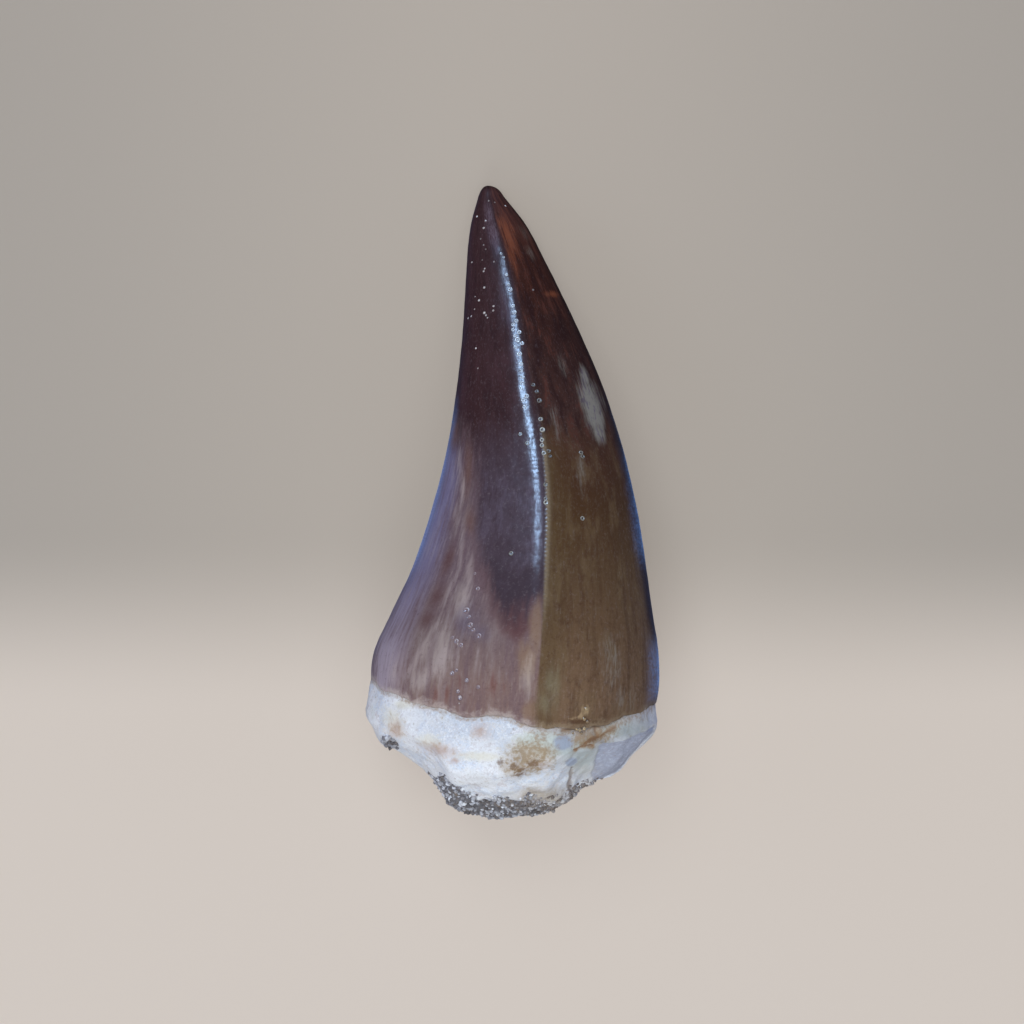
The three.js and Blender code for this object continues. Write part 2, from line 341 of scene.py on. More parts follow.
def skin(name, rings, first_pole, last_pole, finish, shares):
    """A closed skin of rings, which a point closes at each end."""
    rows, columns = rings.shape[:2]
    points = np.concatenate([rings.reshape(-1, 3), [first_pole, last_pole]])
    index = np.arange(rows * columns).reshape(rows, columns)
    beside = np.roll(index, -1, axis=1)
    quads = np.stack([index[:-1], beside[:-1], beside[1:], index[1:]], -1).reshape(-1, 4)
    first, last = rows * columns, rows * columns + 1
    faces = quads.tolist()
    faces += [[first, b, a] for a, b in zip(index[0], beside[0])]
    faces += [[last, a, b] for a, b in zip(index[-1], beside[-1])]
    closed_shares = {}
    for key, values in shares.items():
        flat = values.reshape(rows * columns, -1)
        ends = [flat[:columns].mean(0), flat[-columns:].mean(0)]
        closed_shares[key] = np.concatenate([flat, ends]).squeeze()
    piece = mesh_object(name, points, faces, finish, closed_shares)
    lay_out_map(piece, rings, len(quads))
    return piece


def lay_out_map(piece, rings, quad_count):
    """A texture map that unrolls the skin: columns across, rings up by their spacing."""
    rows, columns = rings.shape[:2]
    spacing = np.linalg.norm(np.diff(rings, axis=0), axis=-1).mean(1)
    up = 0.01 + 0.98 * np.concatenate([[0], np.cumsum(spacing)]) / spacing.sum()
    row, column = np.divmod(np.arange(quad_count), columns)
    u = np.stack([column, column + 1, column + 1, column], -1) / columns
    v = np.stack([up[row], up[row], up[row + 1], up[row + 1]], -1)
    side = np.arange(columns)
    low_u = np.stack([side + 0.5, side + 1, side], -1) / columns
    low_v = np.broadcast_to([0, up[0], up[0]], low_u.shape)
    high_u = np.stack([side + 0.5, side, side + 1], -1) / columns
    high_v = np.broadcast_to([1, up[-1], up[-1]], high_u.shape)
    all_u = np.concatenate([u.ravel(), low_u.ravel(), high_u.ravel()])
    all_v = np.concatenate([v.ravel(), low_v.ravel(), high_v.ravel()])
    layer = piece.data.uv_layers.new(name="OFBake")
    layer.data.foreach_set("uv", np.stack([all_u, all_v], -1).astype(np.float32).ravel())


def repeated(faces, count, point_count):
    """The faces of this many copies of a shape that has this many points."""
    return [[corner + copy * point_count for corner in face] for copy in range(count) for face in faces]


# ---- Nodes --------------------------------------------------------------------------

def srgb(*levels):
    """A colour given in 0 to 255 screen levels, as the shader's linear one."""
    part = np.array(levels) / 255
    linear = np.where(part > 0.04045, ((part + 0.055) / 1.055) ** 2.4, part / 12.92)
    return (*linear.tolist(), 1.0)


def found_socket(sockets, name):
    matches = [s for s in sockets if s.identifier == name] or [s for s in sockets if s.name == name]
    return matches[0]


class Value:
    """A node's number, with Python's arithmetic."""

    def __init__(self, graph, socket):
        self.graph = graph
        self.socket = socket

    def __add__(self, other):
        return self.graph.maths("ADD", self, other)

    __radd__ = __add__

    def __mul__(self, other):
        return self.graph.maths("MULTIPLY", self, other)

    __rmul__ = __mul__

    def __sub__(self, other):
        return self.graph.maths("SUBTRACT", self, other)

    def __rsub__(self, other):
        return self.graph.maths("SUBTRACT", other, self)

    def __truediv__(self, other):
        return self.graph.maths("DIVIDE", self, other)

    def __rtruediv__(self, other):
        return self.graph.maths("DIVIDE", other, self)

    def __abs__(self):
        return self.graph.maths("ABSOLUTE", self)

    def ease(self, low, high):
        """0 on the side of low, 1 on the side of high, and smooth between."""
        inputs = {"Value": self, "From Min": low, "From Max": high}
        return self.graph.node("MapRange", {"interpolation_type": "SMOOTHSTEP"}, inputs, "Result")


class Graph:
    """The nodes of a material or of the world, written as expressions."""

    def __init__(self, tree):
        self.tree = tree

    def node(self, kind, settings, inputs, output=0):
        node = self.tree.nodes.new("ShaderNode" + kind)
        for key, value in settings.items():
            if key == "stops":
                self.fill_ramp(node.color_ramp, value)
            else:
                setattr(node, key, value)
        for key, value in inputs.items():
            socket = found_socket(node.inputs, key)
            if isinstance(value, Value):
                self.tree.links.new(value.socket, socket)
            else:
                socket.default_value = value
        return Value(self, found_socket(node.outputs, output) if output else node.outputs[0])

    def fill_ramp(self, ramp, stops):
        while len(ramp.elements) < len(stops):
            ramp.elements.new(1.0)
        for element, (position, colour) in zip(ramp.elements, stops):
            element.position = position
            element.color = colour

    def maths(self, operation, a, b=0.0):
        inputs = {"Value": a, "Value_001": b}
        return self.node("Math", {"operation": operation}, inputs)

    def over(self, base, colour, share):
        """The colour laid over the base where share is 1."""
        inputs = {"Factor_Float": share, "A_Color": base, "B_Color": colour}
        return self.node("Mix", {"data_type": "RGBA"}, inputs, "Result_Color")

    def coats(self, colour, *coats):
        """The colour under coats of others, each laid over the last by its share."""
        for coat, share in coats:
            colour = self.over(colour, coat, share)
        return colour

    def ramp(self, value, *stops):
        return self.node("ValToRGB", {"stops": stops}, {"Fac": value}, "Color")


class Finish(Graph):
    """A material in the making. Its ragged value roughens the edges of its painted shares."""

    def __init__(self, name, **fixed):
        self.material = bpy.data.materials.new(name)
        self.material.use_nodes = True
        super().__init__(self.material.node_tree)
        self.shader = self.tree.nodes["Principled BSDF"]
        for key, value in fixed.items():
            self.shader.inputs[key.replace("_", " ")].default_value = value

    def share(self, name):
        return self.node("Attribute", {"attribute_name": name}, {}, "Fac")

    def spread(self, name, low, high, raggedness):
        """Where this painted share lies, with a ragged edge between its low and its high."""
        return (self.share(name) + self.ragged * raggedness).ease(low, high)

    def places(self, name):
        return self.node("Attribute", {"attribute_name": name}, {}, "Vector")

    def noise(self, places, scale, detail=2.0, roughness=0.5, distortion=0.0):
        inputs = {"Vector": places, "Scale": scale, "Detail": detail}
        inputs |= {"Roughness": roughness, "Distortion": distortion}
        return self.node("TexNoise", {}, inputs, "Fac")

    def stretched(self, places, stretch):
        inputs = {"Vector": places, "Vector_001": stretch}
        return self.node("VectorMath", {"operation": "MULTIPLY"}, inputs, "Vector")

    def bump(self, height, distance, strength=1.0):
        inputs = {"Height": height, "Distance": distance, "Strength": strength}
        return self.node("Bump", {}, inputs, "Normal")

    def feed(self, **sockets):
        for key, value in sockets.items():
            self.tree.links.new(value.socket, self.shader.inputs[key.replace("_", " ")])
        return self.material


# ---- Enamel -------------------------------------------------------------------------

# The ground colours of the two sides: height, colour.
LEFT_SIDE = (
    (10.5, (119, 96, 90)), (14.5, (110, 91, 91)), (18.5, (103, 84, 90)), (23.5, (99, 80, 86)),
    (28.5, (84, 62, 65)), (32.5, (59, 40, 40)), (38.5, (48, 27, 27)), (43.5, (58, 33, 35)),
    (49.0, (84, 33, 33)),
)
RIGHT_SIDE = (
    (9.5, (112, 88, 68)), (14.0, (104, 80, 59)), (19.0, (92, 70, 49)), (24.0, (76, 53, 33)),
    (28.5, (72, 46, 34)), (31.5, (66, 44, 40)), (37.5, (56, 33, 30)), (42.0, (60, 31, 24)),
    (46.0, (70, 38, 30)), (49.0, (76, 45, 44)),
)
AUBERGINE = srgb(72, 57, 66)
AUBERGINE_DEEP = srgb(63, 47, 54)
AUBERGINE_DARK = srgb(56, 41, 48)
WINE = srgb(95, 62, 61)
FADED = srgb(156, 141, 137)
PALE_FIBRE = srgb(172, 156, 154)
DUSK_FIBRE = srgb(100, 78, 84)
RED_FIBRE = srgb(108, 70, 64)
RED_BROWN = srgb(90, 62, 62)
ORANGE_BROWN = srgb(104, 75, 68)
TAN = srgb(128, 102, 84)
PALE_PATCH = srgb(174, 158, 148)
# The two lilacs below are a painted sheen.
LILAC_SHEEN = srgb(116, 113, 150)
PALE_LILAC_SHEEN = srgb(166, 154, 170)
LILAC_HAZE = srgb(96, 84, 100)
# A painted bluish sheen.
BLUE_SHEEN = srgb(96, 88, 108)
PLUM = srgb(56, 32, 33)
AMBER = srgb(134, 74, 50)
RUSSET = srgb(92, 54, 46)
MAROON = srgb(42, 22, 24)
DUSK = srgb(69, 43, 47)
OLIVE = srgb(92, 72, 47)
UMBER = srgb(74, 50, 34)
SAND_BROWN = srgb(112, 92, 68)
# Painted shade on the right flank.
FLANK_SHADE = srgb(44, 22, 15)
GREEN_GREY = srgb(124, 116, 94)
GREY_PATCH = srgb(138, 135, 130)
GREY_LILAC = srgb(112, 106, 118)
KEEL_BEIGE = srgb(138, 124, 104)
KEEL_SHADOW = srgb(56, 38, 44)
RIM_BEIGE = srgb(184, 171, 164)
RIM_TAN = srgb(142, 124, 102)
RIM_PALE = srgb(206, 196, 190)
GOLD = srgb(164, 140, 108)
DUST = srgb(150, 138, 142)
ROSE = srgb(104, 84, 96)


class Enamel(Finish):
    """The crown's enamel, whose colours are drawn out in fibres along the tooth."""

    def __init__(self):
        super().__init__("fossil_enamel", Coat_Roughness=0.2, Coat_IOR=1.5, Specular_IOR_Level=0.12)
        self.growth = self.places("growth")
        self.height = self.share("height")
        self.fibre = self.drawn_out(0.13, 3.4, 3, 0.6)
        self.thread = self.drawn_out(0.16, 8.0, 3, 0.65)
        self.band = self.drawn_out(0.1, 1.6, 3, 0.6)
        self.cloud = self.drawn_out(0.45, 0.6, 3, 0.6)
        self.mottle = self.drawn_out(0.6, 2.2, 3, 0.6, 0.3)
        self.smear = self.drawn_out(0.42, 0.9, 5, 0.7, 0.4)
        self.dapple = self.drawn_out(0.8, 5.0, 3, 0.7)
        self.ragged = (self.fibre - 0.5) * 1.5 + (self.cloud - 0.5) * 1.3 + (self.thread - 0.5) * 0.5

    def drawn_out(self, squeeze, *kind):
        """Noise that is longer along the tooth, the smaller squeeze is."""
        return self.noise(self.stretched(self.growth, (1, squeeze, 1)), *kind)

    def above(self, low, high, waver):
        """1 above these heights and 0 below them, or the other way round where low is more."""
        return (self.height + self.ragged * waver).ease(low, high)

    def by_height(self, stops):
        """The colours of a side by their heights, with ragged blends between them."""
        rise = (self.height + self.ragged * 2.4) * (1 / TOOTH_LENGTH)
        return self.ramp(rise, *((height / TOOTH_LENGTH, srgb(*colour)) for height, colour in stops))

    def dark_tongue(self):
        """The colours of the dark tongue that runs down the middle of the left side."""
        return self.coats(
            AUBERGINE,
            (AUBERGINE_DEEP, self.mottle.ease(0.3, 0.7)),
            (LILAC_HAZE, (self.cloud + (self.thread - 0.5) * 0.4).ease(0.5, 0.7) * 0.35),
            (AUBERGINE_DARK, self.above(22.0, 18.0, 2) * 0.7),
            (WINE, self.above(17.5, 14.5, 2) * 0.8),
            (PLUM, self.above(26.5, 32.5, 3)),
        )

    def left_side(self):
        """Violet, grey and red-brown fibres low down, and dark browns towards the point, with painted sheen
        along the left flank and beside the highlight, and painted shade at the left silhouette.
        """
        band, fibre, smear = self.band, self.fibre, self.smear
        lilac = self.over(PALE_LILAC_SHEEN, LILAC_SHEEN, self.height.ease(12.0, 21.0))
        low_down = self.above(33.0, 27.0, 3)
        high_up = self.above(28.0, 34.0, 3)
        dashed = (band + (fibre - 0.5) * 0.5).ease(0.42, 0.6)
        return self.coats(
            self.by_height(LEFT_SIDE),
            # Painted sheen: a blue reflection, painted lilac along the left flank low down.
            (lilac, self.spread("lilac", 0.0, 1.0, 0.35) * 0.7),
            (FADED, self.spread("faded", -0.1, 0.9, 0.8) * 0.75),
            (DUSK_FIBRE, band.ease(0.52, 0.34) * low_down * 0.55),
            (PALE_FIBRE, band.ease(0.5, 0.72) * low_down * 0.2),
            (DUSK_FIBRE, fibre.ease(0.5, 0.32) * low_down * 0.3),
            (PALE_FIBRE, fibre.ease(0.5, 0.76) * low_down * 0.25),
            (PALE_FIBRE, self.thread.ease(0.52, 0.78) * low_down * 0.16),
            (ORANGE_BROWN, self.spread("orange", -0.1, 0.9, 0.9) * 0.75),
            (PALE_FIBRE, self.spread("streaks", -0.1, 1.1, 0.9) * 0.5),
            (RED_BROWN, self.spread("stain", 0.0, 0.9, 0.6) * 0.8),
            (RED_FIBRE, self.spread("dashes", -0.1, 0.6, 0.6) * dashed * 0.8),
            (WINE, self.spread("tongue", -1.0, 0.2, 0.9) * self.height.ease(24.0, 17.0) * 0.6),
            (self.dark_tongue(), self.spread("tongue", -0.5, 0.8, 0.9)),
            (TAN, self.spread("tan", 0.0, 0.7, 0.5) * 0.8),
            # Painted sheen: a bluish glow beside the highlight streak and over the wet patch.
            (BLUE_SHEEN, self.spread("haze", -0.1, 1.3, 1.0) * 0.5),
            (MAROON, smear.ease(0.5, 0.64) * high_up * 0.6),
            (DUSK, (smear + (self.dapple - 0.5) * 0.3).ease(0.47, 0.34) * high_up * 0.55),
            (PALE_PATCH, self.spread("pale", -0.1, 0.8, 0.8) * 0.5),
            (ROSE, self.spread("rose", -0.1, 1.0, 0.9) * self.dapple.ease(0.3, 0.6) * 0.8),
            # Painted shade: a dark rim along the left silhouette.
            (PLUM, self.spread("left_edge", 0.1, 1.1, 0.3) * 0.8),
        )

    def right_side(self):
        """Olive browns low down, and maroon and russet smears towards the point, with painted shade towards
        the right silhouette.
        """
        fibre, smear, thread = self.fibre, self.smear, self.thread
        low_down = self.above(32.0, 27.5, 2.5)
        high_up = 1 - low_down
        chalky = self.over(GREY_PATCH, GREY_LILAC, (self.mottle + (fibre - 0.5) * 0.4).ease(0.5, 0.38))
        return self.coats(
            self.by_height(RIGHT_SIDE),
            (OLIVE, self.spread("olive", 0.1, 1.0, 0.4) * low_down * 0.7),
            (SAND_BROWN, self.cloud.ease(0.5, 0.68) * low_down * 0.45),
            (UMBER, self.mottle.ease(0.48, 0.32) * low_down * 0.4),
            (UMBER, self.band.ease(0.5, 0.36) * low_down * 0.35),
            (UMBER, fibre.ease(0.52, 0.38) * low_down * 0.25),
            (GREY_PATCH, thread.ease(0.56, 0.72) * low_down * 0.15),
            (MAROON, smear.ease(0.49, 0.62) * high_up * 0.65),
            (RUSSET, (smear + (self.dapple - 0.5) * 0.3).ease(0.48, 0.34) * high_up * 0.75),
            (AMBER, self.spread("amber", -0.2, 1.2, 1.5) * 0.8),
            (GREEN_GREY, self.spread("green", -0.1, 1.0, 0.7) * 0.55),
            # Painted shade darkening the right flank towards its silhouette.
            (FLANK_SHADE, self.spread("flank", 0.0, 0.9, 0.3) * 0.9),
            (chalky, self.spread("grey", -0.15, 0.75, 0.7) * 0.9),
            (GREY_PATCH, self.spread("veined", -0.1, 1.0, 0.9) * thread.ease(0.35, 0.65) * 0.4),
        )

    def whole(self):
        """Both sides, the worn keel between them, and the crust along the border."""
        cloud, mottle, dapple = self.cloud, self.mottle, self.dapple
        on_right = (self.share("ridge") + (self.thread - 0.5) * 0.2).ease(-0.12, 0.08)
        lit_keel = self.above(31.5, 28.5, 2) * self.height.ease(13.0, 21.0)
        border = self.share("border")
        fringe = border + (mottle - 0.5) * 1.2 + (dapple - 0.5) * 0.8 + (cloud - 0.5) * 0.6
        nicks = border + (dapple - 0.5) * 1.2 + (mottle - 0.5) * 0.8
        chips = border + (dapple - 0.5) * 0.6 + (mottle - 0.5) * 0.9 + (cloud - 0.5) * 0.8
        return self.coats(
            self.left_side(),
            (self.right_side(), on_right),
            (DUST, dapple.ease(0.5, 0.85) * 0.22),
            (PLUM, dapple.ease(0.46, 0.22) * 0.35),
            (KEEL_SHADOW, self.share("keel_shadow") * lit_keel * 0.8),
            (KEEL_BEIGE, self.share("keel") * lit_keel * 0.6),
            (UMBER, self.spread("soil", 0.0, 0.6, 0.5) * 0.7),
            (GOLD, self.spread("gold", 0.0, 0.8, 1.2) * 0.7),
            (self.over(RIM_BEIGE, RIM_TAN, on_right), fringe.ease(0.6, -0.1) * 0.65),
            (UMBER, nicks.ease(0.12, -0.1) * 0.4),
            (RIM_PALE, chips.ease(0.05, -0.2) * 0.4),
        )

    def finished(self):
        """The material, with fine threads of gloss where the crown is glossy."""
        gloss = self.share("gloss")
        ripple = self.noise(self.stretched(self.growth, (0.5, 3.0, 0.5)), 2.2, 2, 0.6)
        sheen = (ripple * 0.3 + self.dapple * 0.5 + self.thread * 0.2).ease(0.43, 0.56)
        relief = self.fibre * 0.5 + self.thread * 0.3 + self.mottle * 0.4
        return self.feed(
            Base_Color=self.whole(),
            Roughness=0.62 + (self.cloud - 0.5) * 0.15 - gloss * 0.22,
            Coat_Weight=gloss * (0.25 + sheen * 0.75),
            Normal=self.bump(relief, 0.00001),
        )


# Soft-edged ovals of colour on the front of the crown: x, height, half width, half height, lean.
CROWN_SPOTS = {
    "streaks": (
        (-4.1, 28.0, 0.22, 1.6, 0.1), (-3.85, 26.2, 0.28, 2.0, 0.05), (-4.4, 24.0, 0.3, 1.4, 0.2),
        (-3.9, 21.3, 0.45, 2.4, 0.12), (-3.2, 19.6, 0.3, 2.0, 0.05), (-4.9, 18.0, 0.4, 2.2, 0.3),
        (-3.6, 17.2, 0.5, 1.8, 0.2), (-5.4, 12.6, 0.5, 1.8, 0.3), (-7.6, 12.4, 0.4, 1.6, 0.5),
        (-9.3, 11.4, 0.4, 1.4, 0.3), (-6.6, 11.2, 0.3, 1.2, 0.3), (-2.6, 12.2, 0.3, 1.4, 0.0),
    ),
    # Painted sheen: a bluish glow along the highlight streak, up to near the point, and over the wet patch
    # low on the left.
    "haze": (
        (-3.6, 15.6, 1.5, 1.9, 0.0), (-2.4, 14.6, 0.9, 1.0, 0.0), (-1.2, 45.0, 0.5, 1.8, -0.3),
        (-0.3, 40.5, 0.5, 4.0, -0.15), (0.3, 36.5, 0.5, 3.0, -0.1),
    ),
    "rose": ((-1.75, 47.6, 0.4, 1.4, -0.1), (-1.5, 46.2, 0.5, 1.4, -0.25)),
    "faded": (
        (-5.7, 13.4, 1.9, 3.2, 0.1), (-4.0, 17.0, 0.8, 2.0, 0.1), (-7.2, 11.0, 1.4, 1.8, 0.3),
    ),
    "orange": ((-3.2, 23.4, 0.7, 1.8, 0.1), (-3.4, 27.6, 0.5, 2.8, 0.05), (-4.6, 30.4, 0.4, 1.6, 0.1)),
    "stain": (
        (-5.9, 17.4, 1.0, 2.0, 0.45), (-6.6, 15.8, 1.0, 1.4, 0.4), (-4.9, 20.4, 0.6, 2.2, 0.3),
    ),
    "tan": ((2.0, 14.9, 0.8, 3.0, 0.05), (1.2, 12.4, 1.1, 2.0, 0.0), (1.6, 8.6, 1.4, 1.2, 0.0)),
    "pale": ((1.2, 11.0, 0.8, 2.2, 0.08),),
    "dashes": (
        (-6.1, 9.8, 0.4, 1.2, 0.0), (-5.0, 9.8, 0.35, 1.1, 0.0), (-4.1, 10.6, 0.3, 1.0, 0.0),
        (-2.2, 10.1, 0.35, 1.0, 0.0), (-0.6, 10.3, 0.3, 0.9, 0.0), (-3.2, 9.3, 0.35, 0.8, 0.0),
        (-0.3, 9.2, 0.3, 0.6, 0.0), (-1.4, 10.6, 0.3, 1.4, 0.0),
    ),
    "amber": (
        (-0.4, 46.0, 0.8, 2.0, -0.35), (-0.9, 46.9, 0.5, 1.2, -0.3), (0.0, 44.2, 0.4, 1.8, -0.3),
        (3.2, 41.4, 0.7, 0.3, 0.0),
    ),
    "grey": (
        (6.25, 32.7, 1.0, 2.2, -0.22), (6.05, 33.3, 0.9, 1.6, -0.2), (6.5, 31.7, 0.9, 1.5, -0.2),
        (5.8, 34.8, 0.4, 1.1, -0.25), (6.9, 30.4, 0.55, 1.1, -0.25),
    ),
    "veined": (
        (1.0, 46.3, 0.3, 0.8, -0.5), (1.5, 44.6, 0.4, 0.7, -0.5), (7.8, 12.2, 1.0, 2.8, 0.0),
        (8.6, 9.6, 0.4, 1.6, 0.0), (5.4, 27.2, 0.35, 2.2, 0.0), (3.6, 30.4, 0.4, 1.2, -0.1),
        (9.6, 9.6, 0.3, 1.4, 0.0), (3.3, 31.6, 0.5, 1.2, 0.0), (3.9, 35.8, 0.4, 1.1, -0.2),
    ),
    "green": ((3.2, 10.4, 0.9, 2.2, 0.0), (2.6, 9.2, 0.9, 1.4, 0.0)),
    "gold": (
        (5.8, 8.65, 0.3, 0.4, 0.0), (5.4, 8.1, 0.5, 0.2, 0.2), (4.8, 8.0, 0.4, 0.15, 0.0),
    ),
    "soil": ((5.3, 7.7, 1.1, 0.25, 0.1), (6.7, 7.7, 0.9, 0.2, 0.0)),
}
TONGUE_HEIGHTS = (13.6, 14.7, 16.4, 18.0, 20.4, 23.5, 29.0, 31.5, 33.5, 50)
TONGUE_LEFT = (1.3, -0.2, -1.1, -1.7, -2.4, -2.9, -3.0, -3.8, -6.5, -9.0)
TONGUE_RIGHT = (-0.3, 1.2, 1.7, 3.0, 3.4, 3.6, 4.0, 4.0, 4.0, 4.0)
TONGUE_LEFT_CURVE = curve_through(TONGUE_HEIGHTS, TONGUE_LEFT)
TONGUE_RIGHT_CURVE = curve_through(TONGUE_HEIGHTS, TONGUE_RIGHT)


def painted(spots, x, height, front):
    """The strongest of these ovals at each place, and -1 away from the front."""
    ovals = [spot(x, height, (cx, cy), (rx, ry), lean) for cx, cy, rx, ry, lean in spots]
    return mix(-1.0, np.maximum(np.maximum.reduce(ovals), -1.0), front)


# Shares of the way from the front edge to the flank.
LILAC_SHEEN_FROM, LILAC_SHEEN_SPAN = 0.74, 0.2
LEFT_SHADE_FROM, LEFT_SHADE_SPAN = 0.972, 0.025
FLANK_SHADE_FROM, FLANK_SHADE_SPAN = 0.92, 0.07
GLOSSY_LEFT_FROM, GLOSSY_RIGHT_FROM, GLOSSY_SPAN = 0.92, 0.888, 0.05
# Millimetres.
OLIVE_REACH, OLIVE_SPAN = 3.0, 2.5
TONGUE_SPAN = 1.2
SHADOW_BESIDE_KEEL, SHADOW_WIDTH = 0.27, 0.1
WORN_KEEL_WIDTH = 0.3
GROWTH_RADIUS = 8.0  # of the round that the enamel's fibres are drawn on

LEAST_GLOSS = 0.06  # between the glossy rims and the glossy middle


def crown_shares(around, points, margin):
    """Where each of the enamel's colours lies."""
    x, height = points[..., 0], points[..., 1]
    cut = section(height)
    front = ease(np.sin(around), -0.15, 0.25)
    ridge = x - cut["edge"]
    on_left = ridge < 0
    to_side = ridge / flank_width(cut, ridge > 0)
    from_middle = np.abs(to_side)
    shares = {name: painted(spots, x, height, front) for name, spots in CROWN_SPOTS.items()}
    inside = np.minimum(x - TONGUE_LEFT_CURVE(height), TONGUE_RIGHT_CURVE(height) - x)
    shares["tongue"] = mix(-1.0, np.clip(inside / TONGUE_SPAN, -1, 1), front)
    # The lilac is a painted sheen: a blue reflection along the left flank, given as colour.
    lilac = (from_middle - LILAC_SHEEN_FROM) / LILAC_SHEEN_SPAN * ease(height, 31, 27)
    shares["lilac"] = np.where(on_left, np.clip(lilac, -1, 1), -1.0)
    # A painted dark rim along the left silhouette, low on the crown.
    left_edge = (-LEFT_SHADE_FROM - to_side) / LEFT_SHADE_SPAN * ease(height, 22, 18) * ease(height, 9, 12)
    shares["left_edge"] = np.clip(left_edge, -1, 1) * front
    shares["olive"] = np.clip((OLIVE_REACH - ridge) / OLIVE_SPAN, -1, 1) * front
    # Painted shade on the right flank, darker towards its silhouette.
    flank_shade = np.clip((to_side - FLANK_SHADE_FROM) / FLANK_SHADE_SPAN, -1, 1)
    shares["flank"] = flank_shade * ease(height, 12, 16)
    shares["keel"] = bell(ridge - KEEL_AT, KEEL_WIDTH) * front
    shares["keel_shadow"] = bell(ridge - KEEL_AT + SHADOW_BESIDE_KEEL, SHADOW_WIDTH) * front
    left_rim = ease(height, 17, 21) * ease(height, 34, 31)
    right_rim = np.maximum(ease(height, 19, 22) * ease(height, 34, 31), ease(height, 15, 12.5))
    glossy_from = np.where(on_left, GLOSSY_LEFT_FROM, GLOSSY_RIGHT_FROM)
    rim = np.where(on_left, left_rim, right_rim) * ease(from_middle - glossy_from, 0, GLOSSY_SPAN)
    middle = ease(from_middle, 0.6, 0.4) * ease(height, 18.5, 22) * ease(height, 46.2, 44)
    worn_keel = 0.85 * bell(ridge - KEEL_AT, WORN_KEEL_WIDTH) * front
    shares["gloss"] = LEAST_GLOSS + (1 - LEAST_GLOSS) * np.maximum(rim, middle * (1 - worn_keel))
    shares["border"] = (height - margin).clip(0, 4)
    shares["ridge"] = ridge * mix(0.2, 1.0, ease(height, 9.5, 12.5))  # the colours blend low down
    shares["height"] = height
    wrapped = [GROWTH_RADIUS * np.cos(around), height, GROWTH_RADIUS * np.sin(around)]
    shares["growth"] = np.stack(wrapped, -1)
    return shares


CROWN_COLUMNS, CROWN_ROWS, POINT_ROWS = 190, 486, 14
CREST_CROWDING = 0.72  # how much closer the columns stand at the two edges
RIM_SINK, RIM_SPREAD = 0.2, 0.8  # how far the enamel thins out towards its rim
RIM_DROPS = (0.03, 0.12, 0.3, 0.9)  # how the rim turns in under itself
RIM_FRAY = 0.1  # how far its edge strays up and down


def make_crown():
    turn = 2 * np.pi * np.arange(CROWN_COLUMNS) / CROWN_COLUMNS
    around = turn - CREST_CROWDING / 2 * np.sin(2 * (turn - FRONT))
    margin = margin_height(around) + RIM_FRAY * noise(around[:, None] * (9, 0, 0), 0.35, 8)
    point_rows = DOWN_TO_POINT_BASE - FRONT * (1 - np.arange(1, POINT_ROWS) / POINT_ROWS)
    share = np.linspace(0, 1, CROWN_ROWS)[:, None]
    crown_rows = mix(DOWN_TO_POINT_BASE, down_at_height(margin, around), share)
    rim_rows = np.repeat(crown_rows[-1:], len(RIM_DROPS), axis=0)
    down = np.vstack([np.repeat(point_rows[:, None], len(around), 1), crown_rows, rim_rows])
    turn = np.broadcast_to(around, down.shape)
    points, normals = grown(turn, down), outward(turn, down)
    relief = crown_relief(turn, points)
    above_rim = points[..., 1] - margin
    relief = relief - RIM_SINK * np.exp(-np.maximum(above_rim, 0) / RIM_SPREAD)
    relief[-len(RIM_DROPS):] -= np.array(RIM_DROPS)[:, None]
    rings = points + relief[..., None] * normals
    tip = rings[0].mean(0) + (0, 0.01, 0)
    inside = rings[-1].mean(0) + (0, 1.5, 0)
    shares = crown_shares(turn, points, margin)
    return skin("crown", rings, tip, inside, Enamel().finished(), shares)


# ---- Bone and sand ------------------------------------------------------------------

BONE_MARKS = (  # of its lumps and hollows: place, size, rise
    ((7.6, 4.4, 14.6), 2.8, -0.5),
    ((-3.5, 5.4, 16.2), 3.0, 0.35),
    ((1.6, 4.2, 16.4), 1.4, -0.35),
    ((-6.5, 7.0, 2.0), 2.4, 0.5),
    ((5.5, 3.6, 2.2), 2.2, -0.7),
    ((2.6, 0.6, 5.6), 2.4, -0.8),
)
GRIT_TOP_X = (-13, -6.6, -5.6, -4.9, -3.9, -2.5, 0.3, 3.4, 5.6, 7.0, 13)
GRIT_TOP = (-1, 0.0, 3.7, 3.0, 2.35, 1.9, 1.65, 1.8, 2.2, 0.0, -1)
GRIT_TOP_CURVE = curve_through(GRIT_TOP_X, GRIT_TOP)
GRIT_CENTRE, GRIT_REACH = (0.0, 9.5), 5.6  # in x and z on the break
THIN_FROM, THIN_TO = 1.5, 4.5  # in x, where the sand thins out to the right
BROWN_GRIT = 0.2  # how much browner the sand is right of the middle
SPUR_PLACE, SPUR_REACH = np.array((-9.6, 5.95, 11.0)), np.array((0.85, 0.6, 2.2))
BONE_WAVES = {"height": 0.16, "spacing": 4.6}
BREAK_WAVES = {"height": 0.3, "spacing": 2.3}
BREAK_WAVES_TOP, BREAK_WAVES_BLEND = 3.4, 1.4
# The flat that is broken off the bone's right side.
FACET_SINK, FACET_SPAN = 0.16, 0.6
FACET_LOW_EDGE = 8.3  # in z
FACET_SIDE = curve_through((2, 3.4, 5.5, 8), (6.1, 6.4, 7.0, 7.4))  # x by height
FACET_TOP = curve_through((6, 7, 9, 10.6, 12), (5.1, 5.5, 6.1, 6.9, 7.9))  # height by x
